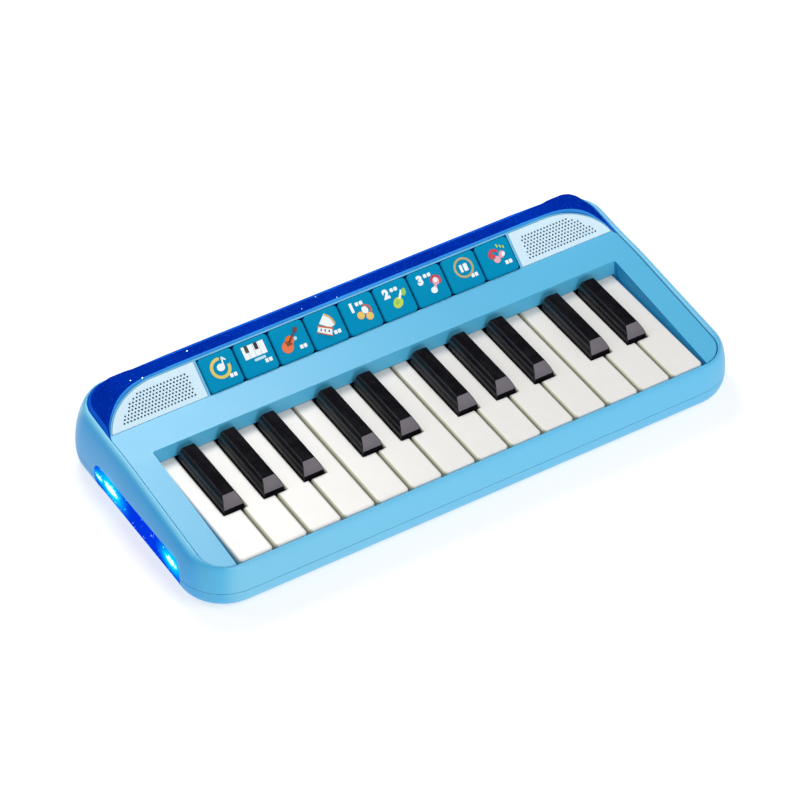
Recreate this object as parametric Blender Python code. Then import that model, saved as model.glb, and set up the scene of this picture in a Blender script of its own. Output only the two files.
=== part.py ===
"""A 24-key toy electronic keyboard, built piece by piece in metres.

The origin is under the middle of the case, at the height that it stands on. +X runs along the keys
to the high notes, -Y is the players' side and +Z is up.
"""

import math

import bmesh
import bpy
from mathutils import Matrix, Vector

# ---------------------------------------------------------------- driving dimensions
WHITE_PITCH = 0.0205
WHITE_COUNT = 14
KEY_TOP_Z = 0.0281
KEY_FRONT_Y = -0.0775

CASE_HALF_WIDTH = 0.1686
CASE_HALF_DEPTH = 0.08215
CASE_FRONT_RADIUS = 0.0283
CASE_REAR_RADIUS = 0.0267
FOOT_HEIGHT = 0.0014
PARTING_Z = 0.0110
WALL = 0.0022
GAP = 0.0003
PARTING_GAP = 0.0003

# The rim's width at the sides, the front and the rear, from the outermost line to the panel's seam.
RIM_WIDTH = (0.0087, 0.0040, 0.0087)
CREST_WIDTH = (0.0077, 0.0031, 0.0077)
BASE_INSET = 0.0045
SEAM_FRONT_RADIUS = 0.0154
RIM_ROUNDNESS = 1.9
BASE_ROUNDNESS = 2.2
CREST_RISE = 0.0005
# Behind the light bar the shoulder falls away, by this much for each metre out from the seam.
REAR_FALL = 1.0
REAR_FALL_Y = (0.0550, 0.0750)

# The seam's height along Y: level keys, a sloping cheek, a flat shelf and the rising rear.
SEAM_LINE = ((-0.0782, 0.0273), (0.0133, 0.0364), (0.0332, 0.0369), (0.0735, 0.0404))

# The control ramp behind the keys.
PANEL_THICKNESS = 0.0024
RAMP_FRONT_Y = 0.0352
RAMP_FRONT_Z = 0.0370
RAMP_RUN = 0.0161
RAMP_RISE = 0.0134
RAMP_ANGLE = math.atan2(RAMP_RISE, RAMP_RUN)
RAMP_LENGTH = math.hypot(RAMP_RUN, RAMP_RISE)

# The opening that the keys stand in, wider at the panel than at the foot of its skirt.
WELL_HALF_TOP = 0.1457
WELL_HALF_LOW = 0.1439
WELL_REAR_TOP_Y = 0.0133
WELL_REAR_LOW_Y = 0.0104
WELL_SKIRT_DEPTH = 0.0060
SKIRT_THICKNESS = 0.0016

# Keys
KEY_SIDE_GAP = 0.0006
WHITE_HEIGHT = 0.0120
WHITE_WALL = 0.0018
WHITE_ROUND = 0.0007
NOTCH_FRONT_Y = -0.0423
BLACK_HALF_BASE = 0.00605
BLACK_HALF_TOP = 0.0036
BLACK_FRONT_Y = -0.0416
BLACK_REAR_Y = 0.0092
BLACK_SKIRT_TOP = 0.0024
BLACK_TOP = 0.0076
BLACK_DEPTH = 0.0085
BLACK_FRONT_SLOPE = 0.0057
ROD_Y = 0.0280
ROD_Z = 0.0232
ROD_RADIUS = 0.00125
BORE_RADIUS = 0.0016
LUG_RADIUS = 0.0031
LUG_WIDTH = 0.0058
TAIL_REAR_Y = 0.0182

# Where each black key sits: the white keys on its left, and how far its middle is off their joint.
BLACK_KEYS = (
    (1, -0.0039), (2, -0.0003), (3, 0.0034), (5, -0.0016), (6, 0.0015),
    (8, -0.0039), (9, -0.0003), (10, 0.0034), (12, -0.0016), (13, 0.0015),
)
NOTE_NAMES = ("f", "g", "a", "b", "c", "d", "e")

# Buttons, grilles and speakers, measured on the ramp
BUTTON_COUNT = 9
BUTTON_PITCH = 0.0218
BUTTON_WIDTH = 0.0210
BUTTON_LENGTH = 0.0200
RAMP_MARGIN = 0.0003
PANEL_REAR_MARGIN = 0.0006
BUTTON_PROUD = 0.0009
BUTTON_CORNER = 0.0016
BUTTON_TRAVEL = 0.0015
BUTTON_LIP = 0.0009
GRILLE_INNER_X = 0.0994
GRILLE_THICKNESS = 0.0012
GRILLE_RECESS = 0.0015
# The grille's outer edge in plan: a quarter of an ellipse that runs into a straight rear edge.
ARC_CENTRE = (0.1230, 0.0299)
ARC_RADII = (0.0360, 0.0214)

# Light bar
BAR_CREST_Z = 0.0514
BAR_SLOPE = 1.20
BAR_SKIN = 0.0022
BAR_TIP_Y = 0.0322

# Side lights: a rounded slot across the parting line
SIDE_LIGHT_Y = (-0.0555, 0.0400)
SIDE_LIGHT_Z = (0.0030, 0.0206)
SIDE_LIGHT_DEPTH = 0.0046
SIDE_SLOT_DEPTH = 0.0120

# Batteries
CELL_RADIUS = 0.00715
CELL_LENGTH = 0.0496
CELL_NUB = 0.0010
CELL_PITCH = 0.0149
BATTERY_BOX = ((-0.0290, 0.0322), (0.0290, 0.0776))
BATTERY_BOX_TOP = 0.0196
DOOR_THICKNESS = 0.0014

# Boards, pads and lamps
BOARD_THICKNESS = 0.0016
BOARD_HALF_X = 0.1400
KEY_BOARD_Z = 0.0072
DOME_HEIGHT = 0.0022
PAD_THICKNESS = 0.0016
LIP_HEIGHT = 0.0012
SPEAKER_X = 0.1234
SPEAKER_DEPTH = 0.0030
BAR_BOARD_Z = 0.0400
BAR_LAMPS = 6
BAR_LAMP_PITCH = 0.042
LIGHT_BOARD_THICKNESS = 0.0014
SIDE_LAMP_INSET = 0.011

ARC_STEPS = 6
BEYOND = 0.0020
SIDEWAYS = Matrix(((0, 0, 1, 0), (1, 0, 0, 0), (0, 1, 0, 0), (0, 0, 0, 1)))
SKY_BLUE = (0.17, 0.52, 0.82)


# ---------------------------------------------------------------- scene and materials
def clear_scene():
    for thing in list(bpy.data.objects):
        bpy.data.objects.remove(thing, do_unlink=True)


def new_collection(name):
    group = bpy.data.collections.new(name)
    bpy.context.scene.collection.children.link(group)
    return group


clear_scene()
PARTS = new_collection("toy_keyboard")
CUTTERS = new_collection("cutters")


def material(name, colour, roughness=0.4, metallic=0.0, alpha=1.0):
    made = bpy.data.materials.new(name)
    made.use_nodes = True
    shader = made.node_tree.nodes["Principled BSDF"]
    shader.inputs["Base Color"].default_value = (*colour, 1.0)
    shader.inputs["Roughness"].default_value = roughness
    shader.inputs["Metallic"].default_value = metallic
    shader.inputs["Alpha"].default_value = alpha
    return made


MATERIALS = {
    "case": material("case_blue", SKY_BLUE, 0.38),
    "base": material("base_blue", (0.15, 0.46, 0.76), 0.45),
    "panel": material("panel_blue", (0.20, 0.58, 0.85), 0.34),
    "light": material("light_blue_clear", (0.0, 0.06, 0.55), 0.12, alpha=0.6),
    "grille": material("grille_white", (0.80, 0.88, 0.95), 0.5),
    "white_key": material("key_white", (0.90, 0.89, 0.86), 0.25),
    "black_key": material("key_black", (0.010, 0.010, 0.014), 0.42),
    "button": material("button_teal", (0.0, 0.27, 0.46), 0.35),
    "steel": material("steel", (0.62, 0.62, 0.63), 0.25, 1.0),
    "board": material("board_green", (0.02, 0.20, 0.08), 0.5),
    "rubber": material("rubber_grey", (0.45, 0.45, 0.44), 0.8),
    "speaker": material("speaker_black", (0.03, 0.03, 0.03), 0.6),
    "cell": material("cell_wrap", (0.10, 0.10, 0.12), 0.35),
    "dark": material("dark_plastic", (0.03, 0.03, 0.035), 0.45),
}


def add_object(name, mesh, slot=None, group=PARTS):
    made = bpy.data.objects.new(name, mesh)
    group.objects.link(made)
    if slot:
        mesh.materials.clear()
        mesh.materials.append(MATERIALS[slot])
    if group is CUTTERS:
        made.hide_render = True
        made.display_type = "WIRE"
    return made


# ---------------------------------------------------------------- shapes
def finished(bm, name):
    bmesh.ops.recalc_face_normals(bm, faces=bm.faces[:])
    mesh = bpy.data.meshes.new(name)
    bm.to_mesh(mesh)
    bm.free()
    return mesh


def thickened(line, thickness):
    """A polyline in YZ as a closed outline, with its underside set below it by thickness."""
    below = []
    for i, point in enumerate(line):
        here = Vector(point)
        back = (here - Vector(line[i - 1])).normalized() if i else None
        ahead = (Vector(line[i + 1]) - here).normalized() if i + 1 < len(line) else None
        back = back or ahead
        ahead = ahead or back
        middle = (back + ahead).normalized()
        down = Vector((middle.y, -middle.x))
        below.append(tuple(here + down * thickness / max(middle.dot(ahead), 0.1)))
    return list(line) + list(reversed(below))


def box_mesh(name, low, high):
    bm = bmesh.new()
    bmesh.ops.create_cube(bm, size=1.0)
    low, high = Vector(low), Vector(high)
    for vert in bm.verts:
        vert.co = Vector((low[i] + (vert.co[i] + 0.5) * (high[i] - low[i]) for i in range(3)))
    return finished(bm, name)


def cylinder_mesh(name, radius, start, end, sides, radius_end=None):
    """A round bar, or a cone, from start to end."""
    start, end = Vector(start), Vector(end)
    bm = bmesh.new()
    bmesh.ops.create_cone(
        bm, cap_ends=True, segments=sides, radius1=radius,
        radius2=radius if radius_end is None else radius_end, depth=(end - start).length,
    )
    turn = (end - start).to_track_quat("Z", "Y").to_matrix().to_4x4()
    bmesh.ops.transform(bm, matrix=Matrix.Translation((start + end) / 2) @ turn, verts=bm.verts[:])
    return finished(bm, name)


def loft_mesh(name, rings, around=False):
    """Skin a stack of rings of equal count. around joins the last ring to the first, as a frame's
    section does; otherwise the first and last rings are filled."""
    bm = bmesh.new()
    rows = [[bm.verts.new(point) for point in ring] for ring in rings]
    count = len(rows[0])
    pairs = list(zip(rows, rows[1:]))
    if around:
        pairs.append((rows[-1], rows[0]))
    for low, high in pairs:
        for i in range(count):
            j = (i + 1) % count
            bm.faces.new((low[i], low[j], high[j], high[i]))
    if not around:
        bm.faces.new(list(reversed(rows[0])))
        bm.faces.new(rows[-1])
    return finished(bm, name)


def prism_mesh(name, outline, low, high, place=None):
    """A flat outline in XY, filled and raised from low to high, then moved by place."""
    bm = bmesh.new()
    face = bm.faces.new([bm.verts.new((x, y, low)) for x, y in outline])
    raised = bmesh.ops.extrude_face_region(bm, geom=[face])
    top = [item for item in raised["geom"] if isinstance(item, bmesh.types.BMVert)]
    bmesh.ops.translate(bm, verts=top, vec=(0.0, 0.0, high - low))
    if place:
        bmesh.ops.transform(bm, matrix=place, verts=bm.verts[:])
    return finished(bm, name)


def apply_boolean(target, tool_mesh, operation="DIFFERENCE"):
    """Cut, join or intersect target with a tool mesh, and keep the result as target's mesh."""
    tool = add_object("tool", tool_mesh, group=CUTTERS)
    step = target.modifiers.new("boolean", "BOOLEAN")
    step.operation = operation
    step.solver = "EXACT"
    step.object = tool
    bpy.context.view_layer.update()
    evaluated = target.evaluated_get(bpy.context.evaluated_depsgraph_get())
    result = bpy.data.meshes.new_from_object(evaluated)
    target.modifiers.remove(step)
    target.data = result
    bpy.data.objects.remove(tool, do_unlink=True)
    return target


def cut(target, *tools):
    for tool in tools:
        apply_boolean(target, tool)
    return target


def join(target, *tools):
    for tool in tools:
        apply_boolean(target, tool, "UNION")
    return target


def round_corners(outline, radii, steps=3):
    """Replace each corner of an outline by an arc, where its radius isn't zero."""
    points = []
    count = len(outline)
    for i, radius in enumerate(radii):
        here = Vector(outline[i])
        if radius <= 0.0:
            points.append(tuple(here))
            continue
        back = (Vector(outline[i - 1]) - here).normalized()
        ahead = (Vector(outline[(i + 1) % count]) - here).normalized()
        half = back.angle(ahead) / 2
        reach = radius / math.tan(half)
        centre = here + (back + ahead).normalized() * radius / math.sin(half)
        first = here + back * reach - centre
        last = here + ahead * reach - centre
        sweep = first.angle_signed(last)
        for k in range(steps + 1):
            spoke = first.copy()
            spoke.rotate(Matrix.Rotation(-sweep * k / steps, 2))
            points.append(tuple(centre + spoke))
    return points


def rectangle(half_x, half_y, radius=0.0, steps=3, centre=(0.0, 0.0)):
    cx, cy = centre
    corners = [(cx + sx * half_x, cy + sy * half_y) for sx, sy in ((1, -1), (1, 1), (-1, 1), (-1, -1))]
    return round_corners(corners, [radius] * 4, steps)


def shade_smooth(thing, angle=35.0):
    thing.data.shade_smooth()
    thing.data.set_sharp_from_angle(angle=math.radians(angle))


# ---------------------------------------------------------------- the case's form
def seam_z(y):
    """Height of the seam between the rim and the panel at y."""
    for (y0, z0), (y1, z1) in zip(SEAM_LINE, SEAM_LINE[1:]):
        if y <= y1:
            return z0 + (z1 - z0) * (max(y, SEAM_LINE[0][0]) - y0) / (y1 - y0)
    return SEAM_LINE[-1][1]


def case_outline(side, front, rear):
    """The case's outline in plan, moved in by an offset at the sides, the front and the rear. It
    runs anticlockwise from the right rear corner, with points where the seam's slope changes."""
    inward = side / RIM_WIDTH[0]
    front_radius = CASE_FRONT_RADIUS + (SEAM_FRONT_RADIUS - CASE_FRONT_RADIUS) * inward
    rear_radius = CASE_REAR_RADIUS - side
    half = CASE_HALF_WIDTH - side
    low, high = -CASE_HALF_DEPTH + front, CASE_HALF_DEPTH - rear
    corners = (
        (half - rear_radius, high - rear_radius, rear_radius, 0.0),
        (rear_radius - half, high - rear_radius, rear_radius, 0.25),
        (front_radius - half, low + front_radius, front_radius, 0.5),
        (half - front_radius, low + front_radius, front_radius, 0.75),
    )
    breaks = [y for y, _ in SEAM_LINE[1:3]]
    points = []
    for number, (cx, cy, radius, turn) in enumerate(corners):
        for k in range(ARC_STEPS + 1):
            angle = math.tau * (turn + 0.25 * k / ARC_STEPS)
            points.append((cx + radius * math.cos(angle), cy + radius * math.sin(angle)))
        if number == 1:
            points += [(-half, y) for y in reversed(breaks)]
        if number == 3:
            points += [(half, y) for y in breaks]
    return points


def case_ring(offsets, height):
    """A ring of the case at an offset; height is a function of y."""
    return [(x, y, height(y)) for x, y in case_outline(*offsets)]


def scaled(widths, factor, extra=0.0):
    return tuple(width * factor + extra for width in widths)


def crest_z(y):
    return seam_z(y) + CREST_RISE


def rear_fall(y, out):
    """How far the shoulder has fallen at y, at a distance out from the seam."""
    share = (y - REAR_FALL_Y[0]) / (REAR_FALL_Y[1] - REAR_FALL_Y[0])
    share = min(max(share, 0.0), 1.0)
    return REAR_FALL * out * share * share * (3 - 2 * share)


def rim_ring(offsets, rise, drop=0.0, bottom=PARTING_Z):
    """A ring of the rim at a share of its rise; drop is how far it lies under the outer face."""
    out = RIM_WIDTH[2] - offsets[2]

    def height(y):
        return bottom + (crest_z(y) - drop - bottom - rear_fall(y, out)) * rise

    return case_ring(offsets, height)


def rim_rings(inset=0.0, steps=7, bottom=PARTING_Z):
    """The outer face of the upper case, from the parting line to the crest of the rim."""
    rings = []
    for k in range(steps + 1):
        angle = math.pi / 2 * k / steps
        inward = 1.0 - math.cos(angle) ** (2 / RIM_ROUNDNESS)
        rise = math.sin(angle) ** (2 / RIM_ROUNDNESS)
        rings.append(rim_ring(scaled(CREST_WIDTH, inward, inset), rise, inset, bottom))
    return rings


def base_rings(inset=0.0, steps=4, top=PARTING_Z - PARTING_GAP):
    """The outer face of the lower case, from the parting line to the flat underside."""
    rings = []
    for k in range(steps + 1):
        angle = math.pi / 2 * k / steps
        inward = BASE_INSET * (1.0 - math.cos(angle) ** (2 / BASE_ROUNDNESS))
        drop = math.sin(angle) ** (2 / BASE_ROUNDNESS)
        z = top - (top - FOOT_HEIGHT - inset) * drop
        rings.append(case_ring((inward + inset,) * 3, lambda y, z=z: z))
    return rings


def side_light_prism(side, grow, inner, outer):
    """The side light's rounded slot as a solid along X, on the left (-1) or right (1) side."""
    y0, y1 = SIDE_LIGHT_Y
    z0, z1 = SIDE_LIGHT_Z
    half_y, half_z = (y1 - y0) / 2 + grow, (z1 - z0) / 2 + grow
    corner = (z1 - z0) * 0.40
    outline = rectangle(half_y, half_z, corner, 4, ((y0 + y1) / 2, (z0 + z1) / 2))
    low, high = sorted((side * inner, side * outer))
    return prism_mesh("side_light_prism", outline, low, high, SIDEWAYS)


# ---------------------------------------------------------------- case pieces
FLANGE_DEPTH = 0.0075
# Where the inner face is drawn, as shares of the way from the side wall to the crest.
INNER_SHARES = (0.58, 0.35, 0.12)


def build_upper_case():
    inner = RIM_WIDTH
    flange = (RIM_WIDTH[0] - 0.0018, RIM_WIDTH[1] - 0.0014, RIM_WIDTH[2] - 0.0018)
    thin = (WALL, 0.0015, WALL)
    rings = rim_rings()
    rings.append(case_ring(inner, lambda y: seam_z(y) + CREST_RISE * 0.35))
    rings.append(case_ring(inner, lambda y: seam_z(y) - FLANGE_DEPTH))
    rings.append(case_ring(flange, lambda y: seam_z(y) - FLANGE_DEPTH))
    for inward in INNER_SHARES:
        rise = (1.0 - (1.0 - inward) ** RIM_ROUNDNESS) ** (1 / RIM_ROUNDNESS)
        offsets = tuple(min(f, c * inward + w) for f, c, w in zip(flange, CREST_WIDTH, thin))
        rings.append(rim_ring(offsets, rise, WALL))
    rings.append(case_ring(thin, lambda y: PARTING_Z))
    case = add_object("upper_case", loft_mesh("upper_case", rings, around=True), "case")
    for side in (-1, 1):
        inner_x, outer_x = CASE_HALF_WIDTH - SIDE_SLOT_DEPTH, CASE_HALF_WIDTH + BEYOND
        cut(case, side_light_prism(side, GAP, inner_x, outer_x))
    shade_smooth(case)
    return case


# A shape that joins another starts this far inside it.
SINK = 0.0004
BOX_WALL = 0.0016
POST_HALF = (0.0012, 0.0034)
# The rod's posts stand beside the end keys and at joints with no black key.
ROD_POST_X = (-0.1500, -3 * WHITE_PITCH, 0.0, 4 * WHITE_PITCH, 0.1500)
SCREW_WELLS = (
    (-0.145, -0.062), (0.145, -0.062), (-0.050, -0.070), (0.050, -0.070),
    (-0.145, 0.062), (0.145, 0.062), (-0.075, 0.066), (0.075, 0.066),
)
SWITCH_X = 0.1080
SWITCH_Y = 0.0560
DOOR = ((-0.0330, 0.0262), (0.0330, 0.0770))
DOOR_SCREW = (0.0, 0.0296)
DOOR_SCREW_TOP = 0.0070


def build_lower_case():
    floor_z = FOOT_HEIGHT + WALL
    inner_low = case_ring((WALL + BASE_INSET,) * 3, lambda y: floor_z)
    inner_mid = case_ring((WALL + 0.0006,) * 3, lambda y: floor_z + 0.0045)
    inner_top = case_ring((WALL,) * 3, lambda y: PARTING_Z - PARTING_GAP)
    rings = [inner_low, inner_mid, inner_top] + base_rings()
    case = add_object("lower_case", loft_mesh("lower_case", rings), "base")
    for x in (-0.128, 0.128):
        for y in (-0.055, 0.055):
            foot = cylinder_mesh("foot", 0.0062, (x, y, 0.0), (x, y, FOOT_HEIGHT + 0.0005), 16, 0.0068)
            join(case, foot)
    for x, y in SCREW_WELLS:
        join(case, cylinder_mesh("boss", 0.0042, (x, y, floor_z - SINK), (x, y, 0.0096), 10))
        cut(case, cylinder_mesh("well", 0.0028, (x, y, 0.0), (x, y, 0.0058), 10))
    (x0, y0), (x1, y1) = BATTERY_BOX
    roof = BATTERY_BOX_TOP
    box_low = (x0 - BOX_WALL, y0 - BOX_WALL, floor_z - SINK)
    join(case, box_mesh("box", box_low, (x1 + BOX_WALL, y1 + 0.0009, roof)))
    cut(case, box_mesh("bay", (x0, y0, 0.0), (x1, y1 - 0.0010, roof - BOX_WALL)))
    (dx0, dy0), (dx1, dy1) = DOOR
    cut(case, box_mesh("rebate", (dx0, dy0, 0.0), (dx1, dy1, FOOT_HEIGHT + DOOR_THICKNESS + GAP)))
    slot = (SWITCH_X - 0.0062, SWITCH_Y - 0.0028, 0.0), (SWITCH_X + 0.0032, SWITCH_Y + 0.0028, 0.0050)
    cut(case, box_mesh("switch_slot", *slot))
    for x in ROD_POST_X:
        post_low = (x - POST_HALF[0], ROD_Y - POST_HALF[1], floor_z - SINK)
        join(case, box_mesh("post", post_low, (x + POST_HALF[0], ROD_Y + POST_HALF[1], ROD_Z)))
        notch_low = (x - 0.01, ROD_Y - BORE_RADIUS, ROD_Z - BORE_RADIUS)
        cut(case, box_mesh("notch", notch_low, (x + 0.01, ROD_Y + BORE_RADIUS, ROD_Z + BEYOND)))
    sx, sy = DOOR_SCREW
    join(case, cylinder_mesh("boss", 0.0025, (sx, sy, floor_z - SINK), (sx, sy, DOOR_SCREW_TOP + 0.0016), 10))
    cut(case, cylinder_mesh("hole", 0.0015, (sx, sy, 0.0), (sx, sy, DOOR_SCREW_TOP + GAP), 10))
    for side in (-1, 1):
        inner_x, outer_x = CASE_HALF_WIDTH - SIDE_SLOT_DEPTH, CASE_HALF_WIDTH + BEYOND
        cut(case, side_light_prism(side, GAP, inner_x, outer_x))
    shade_smooth(case)
    return case


def build_side_lights():
    for side, name in ((-1, "side_light_left"), (1, "side_light_right")):
        inset = 0.0004
        rings = list(reversed(base_rings(inset, 6, PARTING_Z))) + rim_rings(inset, 8)[1:]
        light = add_object(name, loft_mesh(name, rings), "light")
        inner_x, outer_x = CASE_HALF_WIDTH - SIDE_LIGHT_DEPTH, CASE_HALF_WIDTH + BEYOND
        prism = side_light_prism(side, 0.0, inner_x, outer_x)
        apply_boolean(light, prism, "INTERSECT")
        shade_smooth(light, 40)


# ---------------------------------------------------------------- panel and ramp
def ramp_matrix():
    """Ramp axes: X stays, Y runs up the slope from its front line and Z is its outward normal."""
    return Matrix.Translation((0.0, RAMP_FRONT_Y, RAMP_FRONT_Z)) @ Matrix.Rotation(RAMP_ANGLE, 4, "X")


RAMP = ramp_matrix()


def arc_point(angle, grow=0.0):
    """A point of the right grille's outer edge in plan; angle 0 is its outer side, 90 its rear."""
    return (
        ARC_CENTRE[0] + (ARC_RADII[0] + grow) * math.cos(angle),
        ARC_CENTRE[1] + (ARC_RADII[1] + grow) * math.sin(angle),
    )


def arc_points(grow=0.0, steps=9, front_y=RAMP_FRONT_Y):
    """The right grille's outer edge from the front line to the straight rear edge."""
    first = math.asin((front_y - ARC_CENTRE[1]) / (ARC_RADII[1] + grow))
    span = math.pi / 2 - first
    return [arc_point(first + span * k / steps, grow) for k in range(steps + 1)]


REAR_EDGE_Y = ARC_CENTRE[1] + ARC_RADII[1]


def mirrored(points):
    return [(-x, y) for x, y in reversed(points)]


def panel_outline():
    """The panel in plan: the seam round its front and sides, and the grilles' edge at the rear."""
    seam = case_outline(*scaled(RIM_WIDTH, 1.0, GAP))
    right = [point for point in seam if point[0] > WELL_HALF_TOP and point[1] < BAR_TIP_Y]
    right.sort(key=lambda point: point[1])
    front_y = min(y for _, y in seam)
    right = [point for point in right if point[1] > front_y + 1e-6]
    right.insert(0, (WELL_HALF_TOP, front_y))
    side = CASE_HALF_WIDTH - RIM_WIDTH[0] - GAP
    half = right + [(side, BAR_TIP_Y)] + arc_points(PANEL_REAR_MARGIN, front_y=BAR_TIP_Y + 0.0008)
    return half + mirrored(half)


def build_top_panel():
    """A folded sheet, cut to the seam's outline, with a skirt round the keys."""
    line = [(y, z) for y, z in SEAM_LINE[:2]] + [(RAMP_FRONT_Y, RAMP_FRONT_Z)]
    line.append((RAMP_FRONT_Y + RAMP_RUN * 1.3, RAMP_FRONT_Z + RAMP_RISE * 1.3))
    line[0] = (-0.0900, line[0][1] - 0.00118)
    sheet = thickened(line, PANEL_THICKNESS)
    panel = add_object("top_panel", prism_mesh("top_panel", sheet, -0.165, 0.165, SIDEWAYS), "panel")
    skirt = box_mesh(
        "skirt", (-WELL_HALF_TOP - SKIRT_THICKNESS, -0.0770, KEY_TOP_Z - WELL_SKIRT_DEPTH),
        (WELL_HALF_TOP + SKIRT_THICKNESS, WELL_REAR_TOP_Y + SKIRT_THICKNESS, KEY_TOP_Z + 0.0070),
    )
    rear_clear = box_mesh(
        "rear_clear", (-0.2, WELL_REAR_LOW_Y - 0.0100, -0.01), (0.2, 0.2, KEY_TOP_Z + 0.0005)
    )
    skirt_thing = add_object("skirt", skirt, group=CUTTERS)
    cut(skirt_thing, rear_clear)
    above = prism_mesh(
        "above", [(-0.09, 0.0262), (0.02, 0.0371), (0.02, 0.06), (-0.09, 0.06)], -0.2, 0.2, SIDEWAYS
    )
    cut(skirt_thing, above)
    skirt_mesh = skirt_thing.data
    bpy.data.objects.remove(skirt_thing, do_unlink=True)
    join(panel, skirt_mesh)
    apply_boolean(panel, prism_mesh("plan", panel_outline(), -0.01, 0.10), "INTERSECT")
    cut(panel, well_mesh())
    cut(panel, *button_window(), *grille_pockets())
    shade_smooth(panel, 25)
    return panel


def well_mesh():
    """The key opening: its walls lean out from the foot of the skirt to a straight edge on the panel."""
    foot_z = KEY_TOP_Z - WELL_SKIRT_DEPTH
    front_y = -CASE_HALF_DEPTH - BEYOND
    slope = (SEAM_LINE[1][1] - SEAM_LINE[0][1]) / (SEAM_LINE[1][0] - SEAM_LINE[0][0])
    front_z = SEAM_LINE[0][1] + (front_y - SEAM_LINE[0][0]) * slope
    rear_z = SEAM_LINE[1][1]

    def ring(half, rear, z_front, z_rear):
        right = [(half, front_y, z_front), (half, rear, z_rear)]
        return right + [(-x, y, z) for x, y, z in reversed(right)]

    return loft_mesh("well", [
        ring(WELL_HALF_LOW, WELL_REAR_LOW_Y, -0.01, -0.01),
        ring(WELL_HALF_LOW, WELL_REAR_LOW_Y, foot_z, foot_z),
        ring(WELL_HALF_TOP, WELL_REAR_TOP_Y, front_z, rear_z),
        ring(WELL_HALF_TOP, WELL_REAR_TOP_Y, front_z + 0.02, rear_z + 0.02),
    ])


def button_window():
    half = BUTTON_COUNT * BUTTON_PITCH / 2
    outline = rectangle(half, RAMP_LENGTH / 2 - RAMP_MARGIN / 2, 0.0, 1, (0.0, RAMP_LENGTH / 2))
    return [prism_mesh("window", outline, -0.006, 0.006, RAMP)]


def on_ramp(points):
    """Plan points carried to the ramp's own X and Y."""
    stretch = RAMP_LENGTH / RAMP_RUN
    return [(x, (y - RAMP_FRONT_Y) * stretch) for x, y in points]


def grille_outline(inset):
    """The right grille, clockwise from its inner front corner, shrunk by inset."""
    front_y = RAMP_FRONT_Y + RAMP_MARGIN / 2 + inset
    points = [(GRILLE_INNER_X + inset, front_y)] + arc_points(-inset, front_y=front_y)
    points.append((GRILLE_INNER_X + inset, REAR_EDGE_Y - inset))
    return on_ramp(points)


def grille_pockets():
    """The seats of the two grilles, and the windows for the sound."""
    tools = []
    for mirror in (1, -1):
        seat = [(mirror * x, y) for x, y in grille_outline(0.0)]
        tools.append(prism_mesh("seat", seat, -GRILLE_RECESS, 0.004, RAMP))
        sound = rectangle(0.0180, 0.0070, 0.0030, 3, (mirror * SPEAKER_X, RAMP_LENGTH / 2))
        tools.append(prism_mesh("sound", sound, -0.008, 0.004, RAMP))
    return tools


def build_grilles():
    for mirror, name in ((-1, "speaker_grille_left"), (1, "speaker_grille_right")):
        outline = [(mirror * x, y) for x, y in grille_outline(GAP)]
        top = GRILLE_THICKNESS - GRILLE_RECESS + GAP
        plate = prism_mesh(name, outline, top - GRILLE_THICKNESS, top, RAMP)
        add_object(name, plate, "grille")


def button_centre(number):
    return (number - (BUTTON_COUNT + 1) / 2) * BUTTON_PITCH


def build_buttons():
    """Square caps with a lip above and below that stays under the panel."""
    half_x, half_y = BUTTON_WIDTH / 2, BUTTON_LENGTH / 2
    crown = 0.0008
    lip_top = -PANEL_THICKNESS - GAP
    for number in range(1, BUTTON_COUNT + 1):
        rings = []
        for inset, z in (
            (0.0, lip_top - LIP_HEIGHT), (0.0, BUTTON_PROUD - crown),
            (crown * 0.3, BUTTON_PROUD - crown * 0.3), (crown, BUTTON_PROUD),
        ):
            ring = rectangle(half_x - inset, half_y - inset, BUTTON_CORNER - inset * 0.5, 3)
            rings.append([(x, y, z) for x, y in ring])
        name = f"button_{number}"
        cap = add_object(name, loft_mesh(name, rings), "button")
        outline = rectangle(half_x - 0.002, half_y + BUTTON_LIP)
        lip = prism_mesh("lip", outline, lip_top - LIP_HEIGHT, lip_top)
        join(cap, lip)
        cap.matrix_world = RAMP @ Matrix.Translation((button_centre(number), RAMP_LENGTH / 2, 0.0))
        shade_smooth(cap)


# ---------------------------------------------------------------- light bar
# Where each section of the bar is drawn, as shares of its width.
BAR_SHARES = (0.0, 0.14, 0.28, 0.42, 0.56, 0.70, 0.85, 1.0)


def bar_outer(fraction):
    """The bar's outer edge from its tip (0) round the right rear corner (1), in plan."""
    side = RIM_WIDTH[0] + GAP
    radius = CASE_REAR_RADIUS - side
    x, y = CASE_HALF_WIDTH - side, CASE_HALF_DEPTH - side
    tip_y = BAR_TIP_Y + 2 * GAP
    straight = y - radius - tip_y
    along = fraction * (straight + radius * math.pi / 2)
    if along < straight:
        return x, tip_y + along
    angle = (along - straight) / radius
    return x - radius + radius * math.cos(angle), y - radius + radius * math.sin(angle)


def bar_depth(x, y):
    """The distance of a point on the right half from the bar's outer edge."""
    side = RIM_WIDTH[0] + GAP
    radius = CASE_REAR_RADIUS - side
    from_side, from_rear = CASE_HALF_WIDTH - side - x, CASE_HALF_DEPTH - side - y
    if from_side < radius and from_rear < radius:
        return radius - math.hypot(radius - from_side, radius - from_rear)
    return min(from_side, from_rear)


def bar_height(x, y):
    """The bar's top: it rises from the seam, runs on from the ramp and levels off at its crest."""
    ramp = RAMP_FRONT_Z + (y - RAMP_FRONT_Y) * RAMP_RISE / RAMP_RUN + 0.0003
    edge = seam_z(y) + BAR_SLOPE * bar_depth(abs(x), y)
    return max(min(ramp, edge, BAR_CREST_Z), seam_z(y) - 0.0002)


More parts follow.
